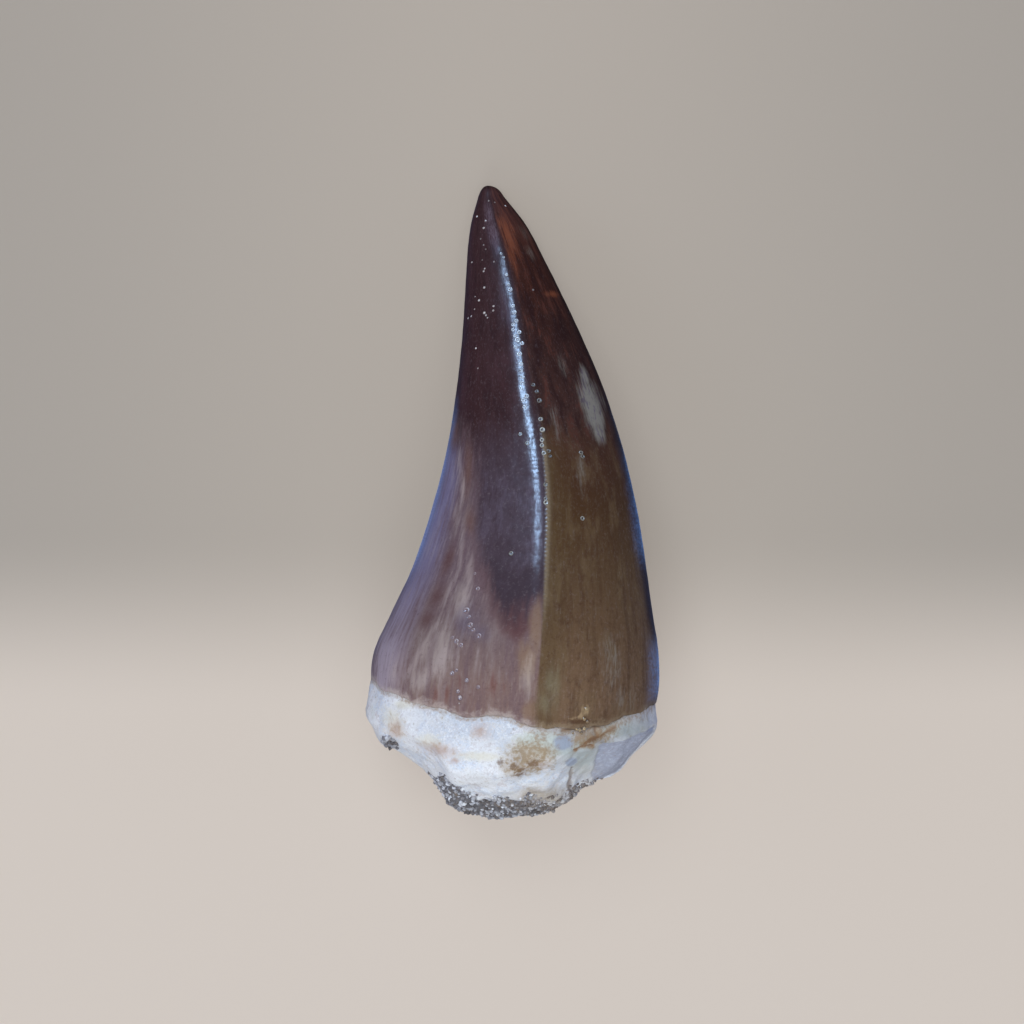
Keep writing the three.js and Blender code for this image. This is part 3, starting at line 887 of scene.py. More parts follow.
# Lines on the front of the bone, through these places in x and height.
RUST_LINES = (
    ((5.6, 5.75), (6.2, 6.32), (7.0, 6.4), (7.8, 6.85), (8.5, 7.2)),
    ((7.0, 6.5), (6.75, 7.0), (6.9, 7.5)),
    ((4.0, 7.0), (4.6, 7.15), (5.4, 7.4)),
    ((5.1, 5.4), (5.6, 5.6), (6.4, 5.7)),
    ((6.4, 7.5), (7.4, 7.6)),
)
CRACK = ((4.95, 3.85), (4.85, 3.2), (4.6, 2.6), (4.75, 2.0))
GROOVE_WIDTH, GROOVE_DEPTH = 0.13, 0.12
RUST_WIDTH, CRACK_WIDTH = 0.24, 0.25  # of their colour


def path_distance(x, height, path):
    """How far each place is from a line of points seen from the front."""
    here = np.stack([x, height], -1)
    nearest = np.full(x.shape, 1e9)
    for start, end in zip(np.array(path[:-1]), np.array(path[1:])):
        along = end - start
        t = np.clip(((here - start) @ along) / (along @ along), 0, 1)
        nearest = np.minimum(nearest, np.linalg.norm(here - start - t[..., None] * along, axis=-1))
    return nearest


def grit_share(points):
    """Over 0 where sand covers the bone: on the break, its front rim and the left spur."""
    x, height, z = np.moveaxis(points, -1, 0)
    top = mix(8.0, GRIT_TOP_CURVE(x), ease(z, 9.0, 12.5))
    top += 0.45 * noise(points, 0.9, 21) + 0.3 * noise(points, 0.35, 22)
    across_break = np.hypot((x - GRIT_CENTRE[0]) / GRIT_REACH, (z - GRIT_CENTRE[1]) / GRIT_REACH)
    patch = 3.5 * (1.15 - across_break) + 0.7 * noise(points, 1.8, 23) + 0.3 * noise(points, 0.6, 24)
    patch = mix(patch, 1.5, ease(z, 10.5, 13.5))
    spur = 1 - np.linalg.norm((points - SPUR_PLACE) / SPUR_REACH, axis=-1)
    return np.maximum(np.minimum.reduce([(top - height) / 0.5, patch, np.full(x.shape, 1.5)]), spur)


def brownness(points):
    """How much browner the sand is, mostly towards the right."""
    return BROWN_GRIT * ease(points[..., 0] + 2.5 * noise(points, 2.2, 25), -1.5, 4.0)


def facet_share(points):
    """Over 0 on the flat that is broken off the bone's right side."""
    x, height, z = np.moveaxis(points, -1, 0)
    waver = 0.1 * noise(points, 0.5, 34)
    low_edge = z - FACET_LOW_EDGE + 1.2 * noise(points, 1.5, 33)
    inside = np.minimum.reduce([x - FACET_SIDE(height), FACET_TOP(x) - height, low_edge])
    return np.clip((inside + waver) / FACET_SPAN, -1, 1)


def bone_relief(around, points, grit):
    """How far the bone stands out of the smooth tooth: its lumps, pits, lines and flat."""
    x, height = points[..., 0], points[..., 1]
    below_enamel = margin_height(around) - height
    rise = -MARGIN_DEPTH * np.exp(-np.maximum(below_enamel, 0) / MARGIN_SPREAD)
    clear = mix(0.5, 1.0, ease(below_enamel, 0, 1.0))  # calm by the enamel
    rise += BONE_WAVES["height"] * clear * unevenness(points, BONE_WAVES["spacing"])
    for centre, size, height_of_mark in BONE_MARKS:
        rise += height_of_mark * bell(np.linalg.norm(points - centre, axis=-1), size)
    gritty = ease(BREAK_WAVES_TOP - height, 0, BREAK_WAVES_BLEND)
    rise += BREAK_WAVES["height"] * gritty * unevenness(points, BREAK_WAVES["spacing"])
    fine = 0.07 * noise(points, 1.1, 11) + 0.035 * noise(points, 0.45, 12)
    fine += 0.015 * noise(points, 0.22, 15) - 0.08 * ease(noise(points, 0.7, 13), 0.45, 0.8)
    rise += clear * fine - FACET_SINK * ease(facet_share(points), -0.1, 0.35)
    for path in (*RUST_LINES, CRACK):
        groove = bell(path_distance(x, height, path), GROOVE_WIDTH)
        rise -= GROOVE_DEPTH * groove * np.sin(around).clip(0)
    return rise + 0.08 * ease(grit, 0, 0.6) * noise(points, 0.4, 14)


BONE_WHITE = srgb(216, 216, 220)
BONE_CHALK = srgb(230, 231, 236)
BONE_BLUE = srgb(198, 205, 219)
BONE_PEARL = srgb(202, 196, 199)
# Painted shade on the upper bone.
BONE_UPPER_SHADE = srgb(182, 186, 196)
BONE_DUN = srgb(178, 168, 166)
BONE_CREAM = srgb(214, 207, 188)
BONE_OCHRE = srgb(151, 129, 101)
BONE_SEPIA = srgb(112, 84, 60)
BONE_GREEN = srgb(186, 195, 188)
BONE_LILAC = srgb(160, 163, 182)
BONE_SLATE = srgb(150, 158, 176)
# Painted shade on the bone's right side.
BONE_GREY_SHADE = srgb(163, 168, 171)
BONE_PINK = srgb(172, 139, 122)
BONE_SEAM = srgb(160, 139, 121)
RUST = srgb(130, 92, 62)
SAND_BED = srgb(80, 76, 80)
SAND_BROWN_BED = srgb(122, 104, 88)
SAND_DUST = srgb(198, 193, 190)

# Ovals of colour on the front of the bone: x, height, half width, half height, lean.
BONE_SPOTS = {
    "cream": (
        (-6.4, 6.2, 1.4, 0.8, -0.5), (-9.4, 7.6, 1.2, 1.6, -0.3), (2.3, 5.8, 3.6, 1.5, 0.0),
        (8.6, 7.4, 2.8, 0.9, 0.35), (-2.6, 5.0, 2.6, 0.5, -0.6), (-8.7, 9.0, 1.0, 0.5, 0.0),
    ),
    "green": (
        (2.4, 6.3, 2.6, 1.0, 0.0), (5.7, 4.5, 1.2, 1.6, 0.0), (8.4, 7.0, 2.4, 0.6, 0.35),
        (-11.2, 8.4, 0.4, 2.0, 0.0), (4.4, 5.6, 2.2, 1.0, 0.0),
    ),
    # Painted shade: the right side of the bone made greyer and darker.
    "grey": ((6.0, 5.6, 4.4, 2.6, 0.0), (9.5, 7.0, 2.4, 1.6, 0.3)),
    "dusty": ((3.0, 2.0, 2.2, 1.2, 0.2), (5.6, 3.4, 1.4, 0.8, 0.6), (0.4, 2.0, 1.6, 0.4, 0.0)),
    "slate": ((4.1, 6.1, 0.9, 0.7, 0.0), (4.8, 4.4, 0.5, 0.4, 0.3)),
    "ochre": (
        (1.5, 5.0, 2.3, 1.5, 0.0), (1.0, 4.3, 2.0, 1.1, 0.0), (6.6, 6.5, 1.9, 1.1, 0.3),
        (2.4, 1.9, 2.0, 0.7, 0.1),
    ),
    "sepia": (
        (0.15, 4.2, 0.5, 0.5, 0.0), (0.7, 3.9, 0.6, 0.3, 0.0), (1.9, 4.4, 0.9, 0.5, 0.0),
        (-0.9, 4.6, 0.4, 0.4, 0.0), (0.6, 3.5, 0.9, 0.25, 0.0),
    ),
    "pink": (
        (-5.6, 5.5, 2.0, 0.9, -0.9), (-2.4, 7.0, 1.1, 1.0, -0.3), (-9.2, 7.0, 1.0, 1.2, 0.0),
        (2.2, 4.2, 1.2, 0.6, 0.0), (-4.4, 4.7, 0.6, 0.4, 0.0),
    ),
}


def bone_finish():
    finish = Finish("fossil_bone", Coat_Weight=0.25, Coat_Roughness=0.25, Specular_IOR_Level=0.35)
    places, spread = finish.places("growth"), finish.spread
    cloud = finish.noise(places, 0.45, 4, 0.6)
    blotch = finish.noise(places, 1.3, 4, 0.65, 0.5)
    fleck = finish.noise(places, 3.4, 3, 0.6, 0.3)
    grain = finish.noise(places, 7.0, 2, 0.6)
    scratches = finish.noise(finish.stretched(places, (1.0, 3.0, 1.0)), 2.6, 3, 0.6)
    chalk = fleck * 0.5 + grain * 0.5
    finish.ragged = (blotch - 0.5) * 1.5 + (fleck - 0.5) * 0.9 + (grain - 0.5) * 0.3
    broken_flat = finish.coats(
        BONE_LILAC,
        (BONE_BLUE, scratches.ease(0.46, 0.7) * 0.6),
        (BONE_PINK, scratches.ease(0.42, 0.3) * 0.35),
    )
    sand_bed = finish.over(SAND_BED, SAND_BROWN_BED, (blotch + finish.share("brown")).ease(0.45, 0.75))
    colour = finish.coats(
        BONE_WHITE,
        (BONE_BLUE, cloud.ease(0.42, 0.58) * 0.9),
        (BONE_CHALK, blotch.ease(0.46, 0.68) * 0.75),
        (BONE_PEARL, blotch.ease(0.47, 0.36) * 0.8),
        # Painted shade: the upper bone made darker and bluer, less so at the far left.
        (BONE_UPPER_SHADE, spread("upper", 0.0, 1.0, 0.4) * 0.35),
        (BONE_CHALK, chalk.ease(0.5, 0.6) * 0.7),
        (BONE_DUN, chalk.ease(0.46, 0.38) * 0.45),
        (BONE_CREAM, spread("cream", -0.1, 0.8, 0.7) * 0.6),
        (BONE_GREEN, spread("green", -0.1, 0.6, 0.7) * 0.75),
        # Painted shade greying the bone's right side.
        (BONE_GREY_SHADE, spread("grey", -0.2, 0.8, 0.7) * 0.7),
        (BONE_SLATE, spread("slate", -0.1, 0.35, 0.35) * 0.9),
        (BONE_PINK, spread("pink", -0.1, 1.1, 1.2) * 0.7),
        (BONE_OCHRE, spread("ochre", -0.25, 0.55, 0.8) * (0.6 + fleck.ease(0.36, 0.6) * 0.35)),
        (BONE_SEPIA, spread("sepia", 0.1, 0.8, 1.2) * 0.75),
        (broken_flat, spread("facet", 0.0, 0.4, 0.25) * 0.85),
        (BONE_OCHRE, spread("rust", -0.5, 0.6, 0.9) * 0.55),
        (RUST, spread("rust", 0.15, 0.9, 1.0) * 0.8),
        (BONE_SEPIA, spread("crack", 0.3, 0.7, 0.8) * 0.7),
        (BONE_SEAM, spread("seam", -0.1, 0.8, 1.2) * (0.3 + fleck.ease(0.4, 0.6) * 0.5)),
        (BONE_SEPIA, chalk.ease(0.37, 0.31) * 0.5),
        (sand_bed, spread("grit", -0.1, 0.6, 0.6) * 0.9),
        (SAND_DUST, spread("dusty", -0.1, 0.6, 1.2) * 0.45),
    )
    relief = blotch * 0.5 + fleck * 0.4 + grain * 0.3
    return finish.feed(
        Base_Color=colour,
        Roughness=0.6 - finish.share("facet").ease(0.0, 0.3) * 0.2,
        Normal=finish.bump(relief, 0.00006),
    )


def bone_shares(around, points, grit):
    """Where each of the bone's colours lies."""
    x, height = points[..., 0], points[..., 1]
    front = ease(np.sin(around), 0.1, 0.4)
    behind = ease(-np.sin(around), 0, 0.4)
    shares = {name: painted(spots, x, height, front) for name, spots in BONE_SPOTS.items()}
    stain = spot(x, height, (-3.0, 5.0), (3.5, 2.5)) * behind
    shares["ochre"] = np.maximum(shares["ochre"], stain - 0.2)
    shares["sepia"] = np.maximum(shares["sepia"], stain - 0.5)
    shares["facet"] = facet_share(points)
    bent_x = x + 0.16 * noise(points, 0.6, 31)
    bent_height = height + 0.16 * noise(points, 0.6, 32)
    far = np.minimum.reduce([path_distance(bent_x, bent_height, line) for line in RUST_LINES])
    shares["rust"] = mix(-1.0, 1 - far / RUST_WIDTH, front)
    far = path_distance(bent_x, bent_height, CRACK)
    shares["crack"] = mix(-1.0, 1 - far / CRACK_WIDTH, front)
    seam_reach = mix(0.28, 0.75, ease(x, -0.5, 2.0) * front)
    shares["seam"] = 1 - np.abs(margin_height(around) - height - 0.1) / seam_reach
    # Painted shade over the upper bone, fading out at the far left.
    shares["upper"] = ease(height, 4.6, 7.2) * ease(x, -10, -5)
    shares["grit"] = grit - 0.8 * ease(x, THIN_FROM, THIN_TO)  # at the right the bone shows
    shares["brown"] = brownness(points)
    shares["growth"] = points
    return shares


BONE_COLUMNS, BONE_ROWS = 300, 210
FRONT_CROWDING = 0.35  # how much closer the columns stand at the front
UNDER_ENAMEL = 0.3  # how far the bone runs on under the enamel
HIDDEN_DROPS = (1.2, 0.7)  # how deep its two rings there lie
SHOULDER_DROPS = (0.25, 0.15, 0.08, 0.03)  # how the next ones come up to the surface


def make_bone():
    turn = 2 * np.pi * np.arange(BONE_COLUMNS) / BONE_COLUMNS
    around = turn + FRONT_CROWDING * np.cos(turn)
    hidden, shoulder = len(HIDDEN_DROPS), len(SHOULDER_DROPS)
    start = down_at_height(margin_height(around) + UNDER_ENAMEL, around)
    share = np.linspace(0, 1, BONE_ROWS, endpoint=False)[:, None]
    down = np.vstack([np.repeat(start[None], hidden, 0), mix(start, FRONT, share)])
    around = np.broadcast_to(around, down.shape)
    points, normals = grown(around, down), outward(around, down)
    grit = grit_share(points)
    relief = bone_relief(around, points, grit)
    relief[: hidden + shoulder] -= np.array(HIDDEN_DROPS + SHOULDER_DROPS)[:, None]
    rings = points + relief[..., None] * normals
    inside = rings[0].mean(0) + (0, 2.0, 0)
    shares = bone_shares(around, points, grit)
    piece = skin("root_bone", rings, inside, rings[-1].mean(0), bone_finish(), shares)
    return piece, rings[hidden:], normals[hidden:], grit[hidden:]


SAND_COLOURS = (  # from the darkest grain to the palest
    (0.0, srgb(92, 88, 90)),
    (0.25, srgb(122, 119, 124)),
    (0.5, srgb(158, 158, 165)),
    (0.8, srgb(192, 193, 202)),
    (1.0, srgb(226, 228, 234)),
)
SAND_TAN = srgb(140, 122, 104)
GRAIN_SPACING, GRAIN_SEAT = 0.33, 0.01  # how far they keep apart and sink in
GRAIN_RADII, GRAIN_STRETCH, GRAIN_DENTS = (0.09, 0.21), (0.75, 1.25), 0.17
SPUR_SHADE = 0.75  # the spur's grains are darker


def sand_finish():
    finish = Finish("cemented_sand", Specular_IOR_Level=0.35)
    places = finish.places("growth")
    colour = finish.ramp(finish.share("tone"), *SAND_COLOURS)
    dust = finish.noise(places, 5.0, 3, 0.6)
    stained = (dust + finish.share("brown")).ease(0.5, 0.7)
    return finish.feed(
        Base_Color=finish.over(colour, SAND_TAN, stained * 0.5),
        Roughness=0.5 + dust * 0.25,
        Normal=finish.bump(dust, 0.00008),
    )


def ball():
    """The points and faces of a small round of 80 triangles."""
    shape = bmesh.new()
    bmesh.ops.create_icosphere(shape, subdivisions=2, radius=1.0)
    points = np.array([corner.co[:] for corner in shape.verts])
    faces = [[corner.index for corner in face.verts] for face in shape.faces]
    shape.free()
    return points, faces


def spaced_out(points, spacing, order):
    """The points, taken in this order, that keep clear of those already taken."""
    taken = {}
    kept = []
    for i in order:
        cell = tuple(np.floor(points[i] / spacing).astype(int))
        near = (
            other
            for step in np.ndindex(3, 3, 3)
            for other in taken.get(tuple(np.add(cell, step) - 1), ())
        )
        if all(np.sum((points[i] - points[other]) ** 2) > spacing**2 for other in near):
            taken.setdefault(cell, []).append(i)
            kept.append(i)
    return np.array(kept)


def make_sand(rings, normals, grit):
    """Dented grains, seated apart from each other on the bone where grit is over 0."""
    random = np.random.default_rng(7)
    points, normals, grit = rings.reshape(-1, 3), normals.reshape(-1, 3), grit.ravel()
    thinning = mix(1.0, 0.25, ease(points[:, 0], THIN_FROM, THIN_TO))
    chance = ease(grit, -0.1, 0.35) * thinning
    candidates = np.flatnonzero(random.random(len(points)) < chance)
    chosen = spaced_out(points, GRAIN_SPACING, random.permutation(candidates))
    shape, faces = ball()
    count = len(chosen)
    radii = random.uniform(*GRAIN_RADII, (count, 1, 1)) * random.uniform(*GRAIN_STRETCH, (count, 1, 3))
    dents = 1 + GRAIN_DENTS * random.standard_normal((count, len(shape), 1))
    turns = np.linalg.qr(random.standard_normal((count, 3, 3)))[0]
    grains = (shape[None] * dents * radii) @ turns
    grains += (points[chosen] - GRAIN_SEAT * normals[chosen])[:, None]
    grains = grains.reshape(-1, 3)
    spur_shade = mix(SPUR_SHADE, 1.0, ease(points[chosen, 0], -8.5, -7.0))
    tone = np.repeat(random.random(count) * spur_shade, len(shape))
    shares = {"tone": tone, "brown": brownness(grains), "growth": grains}
    return mesh_object("sand_grains", grains, repeated(faces, count, len(shape)), sand_finish(), shares)


# ---- Varnish ------------------------------------------------------------------------

# Rounds on the enamel, seen from the front: x, height, radius, paleness of the ring. The paleness is
# painted highlight, but on the crust's crumbs it is their own paler tone.
STREAK_PLACES = (
    (-0.81, 44.5, 0.1, 0.8), (-0.61, 44.2, 0.1, 0.7), (-0.38, 42.8, 0.12, 1.0), (-0.2, 42.0, 0.11, 0.8),
    (-0.08, 41.6, 0.18, 0.8), (0.13, 40.3, 0.14, 1.0), (0.24, 39.8, 0.17, 0.9), (0.4, 39.1, 0.16, 0.9),
    (0.17, 38.8, 0.16, 0.8), (0.15, 38.4, 0.14, 0.8), (0.62, 38.2, 0.17, 1.0), (0.31, 37.9, 0.14, 0.9),
    (0.5, 37.6, 0.21, 1.0), (0.84, 37.3, 0.16, 0.9), (0.36, 37.0, 0.16, 0.7), (0.66, 36.45, 0.19, 1.0),
    (0.77, 35.65, 0.17, 1.0), (0.8, 35.1, 0.14, 0.8), (0.9, 34.6, 0.16, 0.9), (0.89, 34.1, 0.17, 0.9),
    (0.8, 33.7, 0.15, 0.9), (1.21, 33.1, 0.2, 0.7), (0.96, 32.8, 0.17, 1.0), (1.07, 32.25, 0.17, 0.8),
)
LOOSE_PLACES = (
    (1.71, 34.0, 0.16, 0.2), (1.96, 33.5, 0.16, 0.2), (2.16, 32.8, 0.2, 0.3), (2.27, 31.3, 0.19, 0.6),
    (2.41, 30.45, 0.21, 1.0), (2.39, 29.65, 0.18, 0.9), (2.39, 29.2, 0.18, 0.8), (2.54, 28.6, 0.18, 0.8),
    (2.67, 26.1, 0.17, 0.5), (2.69, 24.7, 0.19, 0.9), (2.67, 25.0, 0.15, 0.4), (5.49, 23.6, 0.18, 0.6),
    (0.75, 30.15, 0.16, 0.35), (1.3, 29.4, 0.17, 0.5), (5.42, 28.8, 0.17, 0.5), (5.54, 28.5, 0.17, 0.4),
    (0.04, 20.8, 0.18, 0.4), (2.9, 28.8, 0.16, 0.25), (3.0, 28.4, 0.14, 0.2),
)
SPECK_PLACES = (
    (-2.73, 47.6, 0.1, 1.0), (-2.03, 47.2, 0.09, 0.7), (-2.18, 46.65, 0.1, 0.7), (-2.43, 45.8, 0.07, 0.3),
    (-2.2, 45.3, 0.07, 0.4), (-2.02, 44.95, 0.07, 0.4), (-3.15, 43.95, 0.08, 0.9), (-1.35, 43.9, 0.08, 0.4),
    (-2.09, 43.4, 0.08, 0.7), (-2.18, 43.2, 0.09, 0.7), (-2.13, 41.9, 0.1, 0.8), (-2.87, 41.2, 0.06, 0.7),
    (-2.55, 40.9, 0.1, 1.0), (-1.39, 40.4, 0.09, 0.8), (-1.42, 40.05, 0.09, 0.7), (-2.13, 39.9, 0.11, 1.0),
    (-2.0, 39.7, 0.09, 0.7), (-2.91, 40.2, 0.07, 0.6), (-3.18, 39.65, 0.08, 0.9), (-3.44, 39.5, 0.09, 0.9),
    (-1.88, 39.5, 0.07, 0.6), (-2.8, 37.1, 0.09, 0.9), (-2.63, 35.5, 0.07, 0.5), (-0.48, 48.45, 0.09, 0.7),
    (-1.8, 48.8, 0.07, 0.5), (-1.35, 48.7, 0.06, 0.4), (1.68, 41.7, 0.09, 0.3), (-2.3, 44.1, 0.06, 0.3),
    (-3.62, 16.5, 0.07, 0.7), (-3.4, 16.3, 0.06, 0.8), (-3.16, 15.4, 0.07, 0.7), (-3.3, 15.05, 0.06, 0.5),
    (-4.4, 14.05, 0.09, 1.0), (-4.2, 13.8, 0.07, 0.8), (-3.86, 13.6, 0.06, 0.8), (-2.45, 14.3, 0.06, 0.6),
    (-4.72, 11.5, 0.07, 0.8), (-4.3, 11.8, 0.05, 0.7), (-3.52, 10.95, 0.07, 0.7), (-2.6, 10.5, 0.06, 0.7),
    (-4.22, 10.15, 0.07, 0.9), (-4.05, 9.65, 0.1, 1.0), (-4.1, 9.15, 0.06, 0.8),
)
WET_PLACES = (
    (-3.5, 16.4, 0.26, 0.5), (-3.3, 15.9, 0.16, 0.35), (-3.2, 15.25, 0.24, 0.45), (-2.95, 14.85, 0.17, 0.4),
    (-4.3, 14.0, 0.2, 0.7), (-3.95, 13.7, 0.18, 0.5), (-2.5, 14.4, 0.2, 0.4), (-4.6, 14.3, 0.13, 0.4),
    (-4.65, 11.5, 0.17, 0.6), (-4.3, 11.75, 0.13, 0.4), (-3.5, 10.95, 0.16, 0.5), (-2.6, 10.45, 0.15, 0.5),
    (-4.2, 10.1, 0.15, 0.6), (-4.05, 9.6, 0.18, 0.8), (-2.6, 18.1, 0.17, 0.5), (-2.85, 19.3, 0.12, 0.35),
)
CRUMB_PLACES = (
    (5.85, 8.75, 0.15, 0.6), (5.7, 8.5, 0.13, 0.4), (5.95, 8.4, 0.12, 0.2), (5.7, 8.15, 0.14, 0.7),
    (5.35, 8.1, 0.13, 0.6), (5.1, 8.15, 0.1, 0.7), (4.8, 8.0, 0.09, 0.4), (5.5, 7.95, 0.1, 0.3),
)


def front_surface(x, height):
    """The enamel's surface, and its normals, at places seen from the front."""
    cut = section(height)
    ridge = x - cut["edge"]
    around = np.arccos(np.clip(ridge / flank_width(cut, ridge > 0), -1, 1))
    down = (WIDEST - height) / ROOT_DEPTH
    points, normals = grown(around, down), outward(around, down)
    return points + crown_relief(around, points)[..., None] * normals, normals


ROUND_TURNS = 20
ROUND_RISE = 0.5  # how high a rise of 1 is, as a share of the round's radius
ROUND_ROOT = 0.6  # how deep its closing point lies
DARK_TURN = 0.8  # the side where the wet bubbles' painted highlight rings fade, which is their lower left
# How a round swells out of the varnish: a share of its radius, its rise and its ring's paleness, which is
# painted highlight.
BUBBLE = (
    (1.25, -0.5, 0.0), (1.05, 0.0, 0.2), (0.95, 0.4, 0.8), (0.82, 0.62, 1.0), (0.66, 0.55, 1.0),
    (0.5, 0.3, 0.45), (0.4, 0.14, 0.0), (0.2, 0.12, 0.0), (0.0, 0.12, 0.0),
)
BEAD = ((1.2, -0.5, 0.2), (1.0, 0.1, 0.6), (0.75, 0.6, 1.0), (0.4, 0.9, 1.0), (0.0, 1.0, 1.0))


def round_faces(ring_count):
    """The faces of one round: between its rings, up to its top and down to its root."""
    last = (ring_count - 1) * ROUND_TURNS
    top, root = last + ROUND_TURNS, last + ROUND_TURNS + 1
    faces = []
    for i in range(ROUND_TURNS):
        j = (i + 1) % ROUND_TURNS
        for ring in range(0, last, ROUND_TURNS):
            faces.append([ring + j, ring + i, ring + ROUND_TURNS + i, ring + ROUND_TURNS + j])
        faces += [[last + j, last + i, top], [i, j, root]]
    return faces


def make_rounds(name, places, form, finish, dark_side):
    """Small rounds that stand on the enamel, with pale rings that fade on the dark side: painted highlights
    on the bubbles and specks, and the crumbs' own paler tone.
    """
    x, height, radius, paleness = np.array(places).T
    centres, normals = front_surface(x, height)
    turn = 2 * np.pi * np.arange(ROUND_TURNS) / ROUND_TURNS
    arc = 1 - dark_side * (0.5 + 0.5 * np.cos(turn - DARK_TURN)) ** 0.5
    *rings, (_, top_rise, top_paleness) = form
    points, pale = [], []
    for centre, up, size, share in zip(centres, normals, radius, paleness):
        across = np.cross(up, (0, 1, 0))
        across /= np.linalg.norm(across)
        along = np.cross(up, across)
        circle = np.cos(turn)[:, None] * across + np.sin(turn)[:, None] * along
        for reach, rise, ring_paleness in rings:
            points += list(centre + size * reach * circle + size * ROUND_RISE * rise * up)
            pale += list(ring_paleness * share * arc)
        points += [centre + size * ROUND_RISE * top_rise * up, centre - size * ROUND_ROOT * up]
        pale += [top_paleness * share, 0.0]
    faces = repeated(round_faces(len(rings)), len(places), len(rings) * ROUND_TURNS + 2)
    shares = {"pale": np.array(pale), "growth": np.array(points)}
    return mesh_object(name, points, faces, finish, shares)


def varnish_finish(name, clear, pale):
    """A varnish that turns to its pale colour where the rounds' rings are pale: painted highlight on the
    bubbles and specks, and the crumbs' own paler tone.
    """
    finish = Finish(name, Coat_Weight=1.0, Coat_Roughness=0.1)
    cloudy = finish.noise(finish.places("growth"), 4.0, 2, 0.6)
    pale_highlight_and_tone = finish.share("pale") * (0.8 + cloudy * 0.4)
    return finish.feed(
        Base_Color=finish.over(srgb(*clear), srgb(*pale), pale_highlight_and_tone),
        Roughness=0.22 + cloudy * 0.16,
        Normal=finish.bump(cloudy, 0.00001),
    )


# ---- Studio -------------------------------------------------------------------------

LENS, SENSOR = 600.0, 36.0
VIEW_SPAN = 80.9 * MM  # what the view's side spans at the flanks' height
FLANK_Z = 8.0 * MM  # how high the flanks lie
VIEW_MIDDLE = (0.095 * MM, -0.83 * MM)  # in x and y
FLOOR_SIZE = 3.0
# The floor's colour, which it also glows with: painted darker far off and darker still to the far sides, a
# painted falloff of light.
FLOOR_NEAR, FLOOR_FAR_SHADED, FLOOR_SIDES_SHADED = srgb(129, 122, 116), srgb(110, 104, 98), srgb(102, 97, 92)
NEAR_TO, FAR_FROM = -0.017, -0.002  # in y, where the near floor ends and the far one begins
SIDES_FROM = 0.045  # in x
SKY_DARK = (0.02, 0.023, 0.03, 1.0)
SKY_BLUE = (0.15, 0.3, 0.72, 1.0)


def make_camera():
    camera = bpy.data.cameras.new("camera")
    camera.lens, camera.sensor_width = LENS, SENSOR
    camera.clip_start, camera.clip_end = 0.01, 20.0
    holder = bpy.data.objects.new("camera", camera)
    holder.location = (*VIEW_MIDDLE, FLANK_Z + VIEW_SPAN * LENS / SENSOR)
    bpy.context.scene.collection.objects.link(holder)
    bpy.context.scene.camera = holder


def make_light(name, place_mm, aim_mm, size_mm, power, colour, **seen_by):
    light = bpy.data.lights.new(name, "AREA")
    light.shape = "RECTANGLE"
    light.size, light.size_y = size_mm[0] * MM, size_mm[1] * MM
    light.energy = power
    light.color = colour
    holder = bpy.data.objects.new(name, light)
    holder.location = Vector(place_mm) * MM
    holder.rotation_euler = (Vector(aim_mm) - Vector(place_mm)).to_track_quat("-Z", "Y").to_euler()
    holder.visible_camera = False
    for key, value in seen_by.items():
        setattr(holder, key, value)
    bpy.context.scene.collection.objects.link(holder)


def make_floor():
    bpy.ops.mesh.primitive_plane_add(size=FLOOR_SIZE)
    floor = bpy.context.object
    floor.name = "floor"
    # The floor glows as well as taking light, a painted glow that softens the tooth's shadows on it.
    finish = Finish("floor", Roughness=0.9, Specular_IOR_Level=0.2, Emission_Strength=1.8)
    places = finish.node("TexCoord", {}, {}, "Object")
    across, along = (finish.node("SeparateXYZ", {}, {"Vector": places}, axis) for axis in "XY")
    far = finish.over(FLOOR_FAR_SHADED, FLOOR_SIDES_SHADED, abs(across).ease(0.0, SIDES_FROM))
    colour = finish.over(FLOOR_NEAR, far, along.ease(NEAR_TO, FAR_FROM))
    floor.data.materials.append(finish.feed(Base_Color=colour, Emission_Color=colour))
    floor.visible_glossy = False


def make_world():
    """A dark room with a blue glow low down on both sides, which only the flanks catch."""
    world = bpy.data.worlds.new("world")
    bpy.context.scene.world = world
    world.use_nodes = True
    sky = Graph(world.node_tree)
    direction = sky.node("TexCoord", {}, {}, "Generated")
    x, y, z = (sky.node("SeparateXYZ", {}, {"Vector": direction}, axis) for axis in "XYZ")
    turned = y / (abs(x) + 0.001)
    left = x.ease(-0.02, -0.1) * turned.ease(0.12, 0.24) * turned.ease(0.56, 0.4)
    right = x.ease(0.02, 0.1) * turned.ease(-0.3, -0.1) * turned.ease(0.36, 0.2)
    colour = sky.over(SKY_DARK, SKY_BLUE, (left + right) * z.ease(0.35, -0.05))
    background = world.node_tree.nodes["Background"]
    world.node_tree.links.new(colour.socket, background.inputs["Color"])


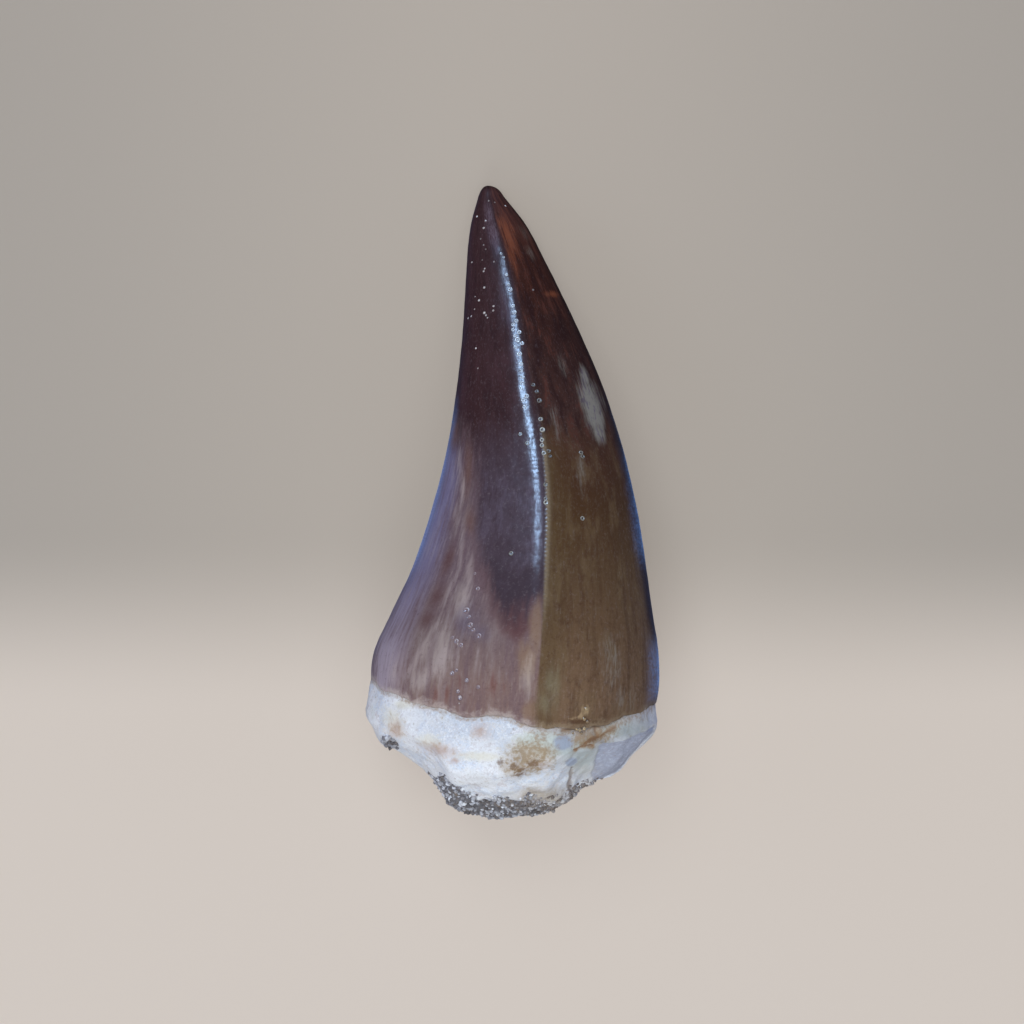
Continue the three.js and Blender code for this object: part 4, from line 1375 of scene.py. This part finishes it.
def light_studio():
    """Soft light on the whole tooth, and three lights that show only where it mirrors them."""
    cool, sky, blue, azure = (0.92, 0.97, 1.0), (0.86, 0.94, 1.0), (0.65, 0.75, 1.0), (0.43, 0.66, 1.0)
    soft = {"visible_glossy": False}
    shine = {"visible_diffuse": False}
    crown_middle = (0, 8, 9)
    make_light("overhead", (0, -20, 420), (0, 0, 0), (400, 400), 1.1, cool, **soft)
    make_light("high_key", (-60, 110, 300), (0, 0, 0), (150, 150), 0.32, cool, **soft)
    make_light("left_fill", (-300, 40, 130), (0, 0, 8), (200, 200), 0.31, blue, **soft)
    make_light("right_fill", (300, 20, 130), (0, 0, 8), (200, 200), 0.18, blue, **soft)
    make_light("root_fill", (-40, -305, 170), (0, -20, 5), (200, 200), 0.7, sky, **soft)
    make_light("crest_shine", (-69, 247, 177), crown_middle, (110, 95), 0.52, azure, **shine)
    make_light("crest_glow", (-60, 205, 227), crown_middle, (100, 52), 0.3, azure, **shine)
    make_light("crest_core", (-65, 237, 202), crown_middle, (100, 34), 0.21, azure, **shine)


# ---- The tooth ----------------------------------------------------------------------

bpy.context.scene.view_settings.view_transform = "Standard"

make_camera()
crown = make_crown()
root_bone, bone_rings, bone_normals, bone_grit = make_bone()
pieces = [
    (crown, "enamel"),
    (root_bone, "bone"),
    (make_sand(bone_rings, bone_normals, bone_grit), "sand_crust"),
]

ROUNDS = (
    # piece, slot, places, form, dark side, finish, its clear and its pale colour, the pale one being
    # painted highlight except on the crumbs, whose own tone it is
    ("streak_bubbles", "enamel", STREAK_PLACES, BUBBLE, 0, "streak_varnish", (66, 58, 66), (206, 216, 230)),
    ("loose_bubbles", "enamel", LOOSE_PLACES, BUBBLE, 0, "ring_varnish", (62, 50, 46), (176, 174, 166)),
    ("varnish_specks", "enamel", SPECK_PLACES, BEAD, 0, "speck_varnish", (80, 64, 66), (188, 178, 176)),
    ("crust_crumbs", "sand_crust", CRUMB_PLACES, BEAD, 0, "yellow_crust", (112, 88, 62), (188, 168, 136)),
    ("wet_bubbles", "enamel", WET_PLACES, BUBBLE, 1, "wet_varnish", (120, 100, 104), (212, 204, 212)),
)
for name, slot, places, form, dark_side, finish_name, clear, pale in ROUNDS:
    finish = varnish_finish(finish_name, clear, pale)
    pieces.append((make_rounds(name, places, form, finish, dark_side), slot))

for piece, slot in pieces:
    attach(piece, "root")
    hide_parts("tooth")

make_floor()
make_world()
light_studio()
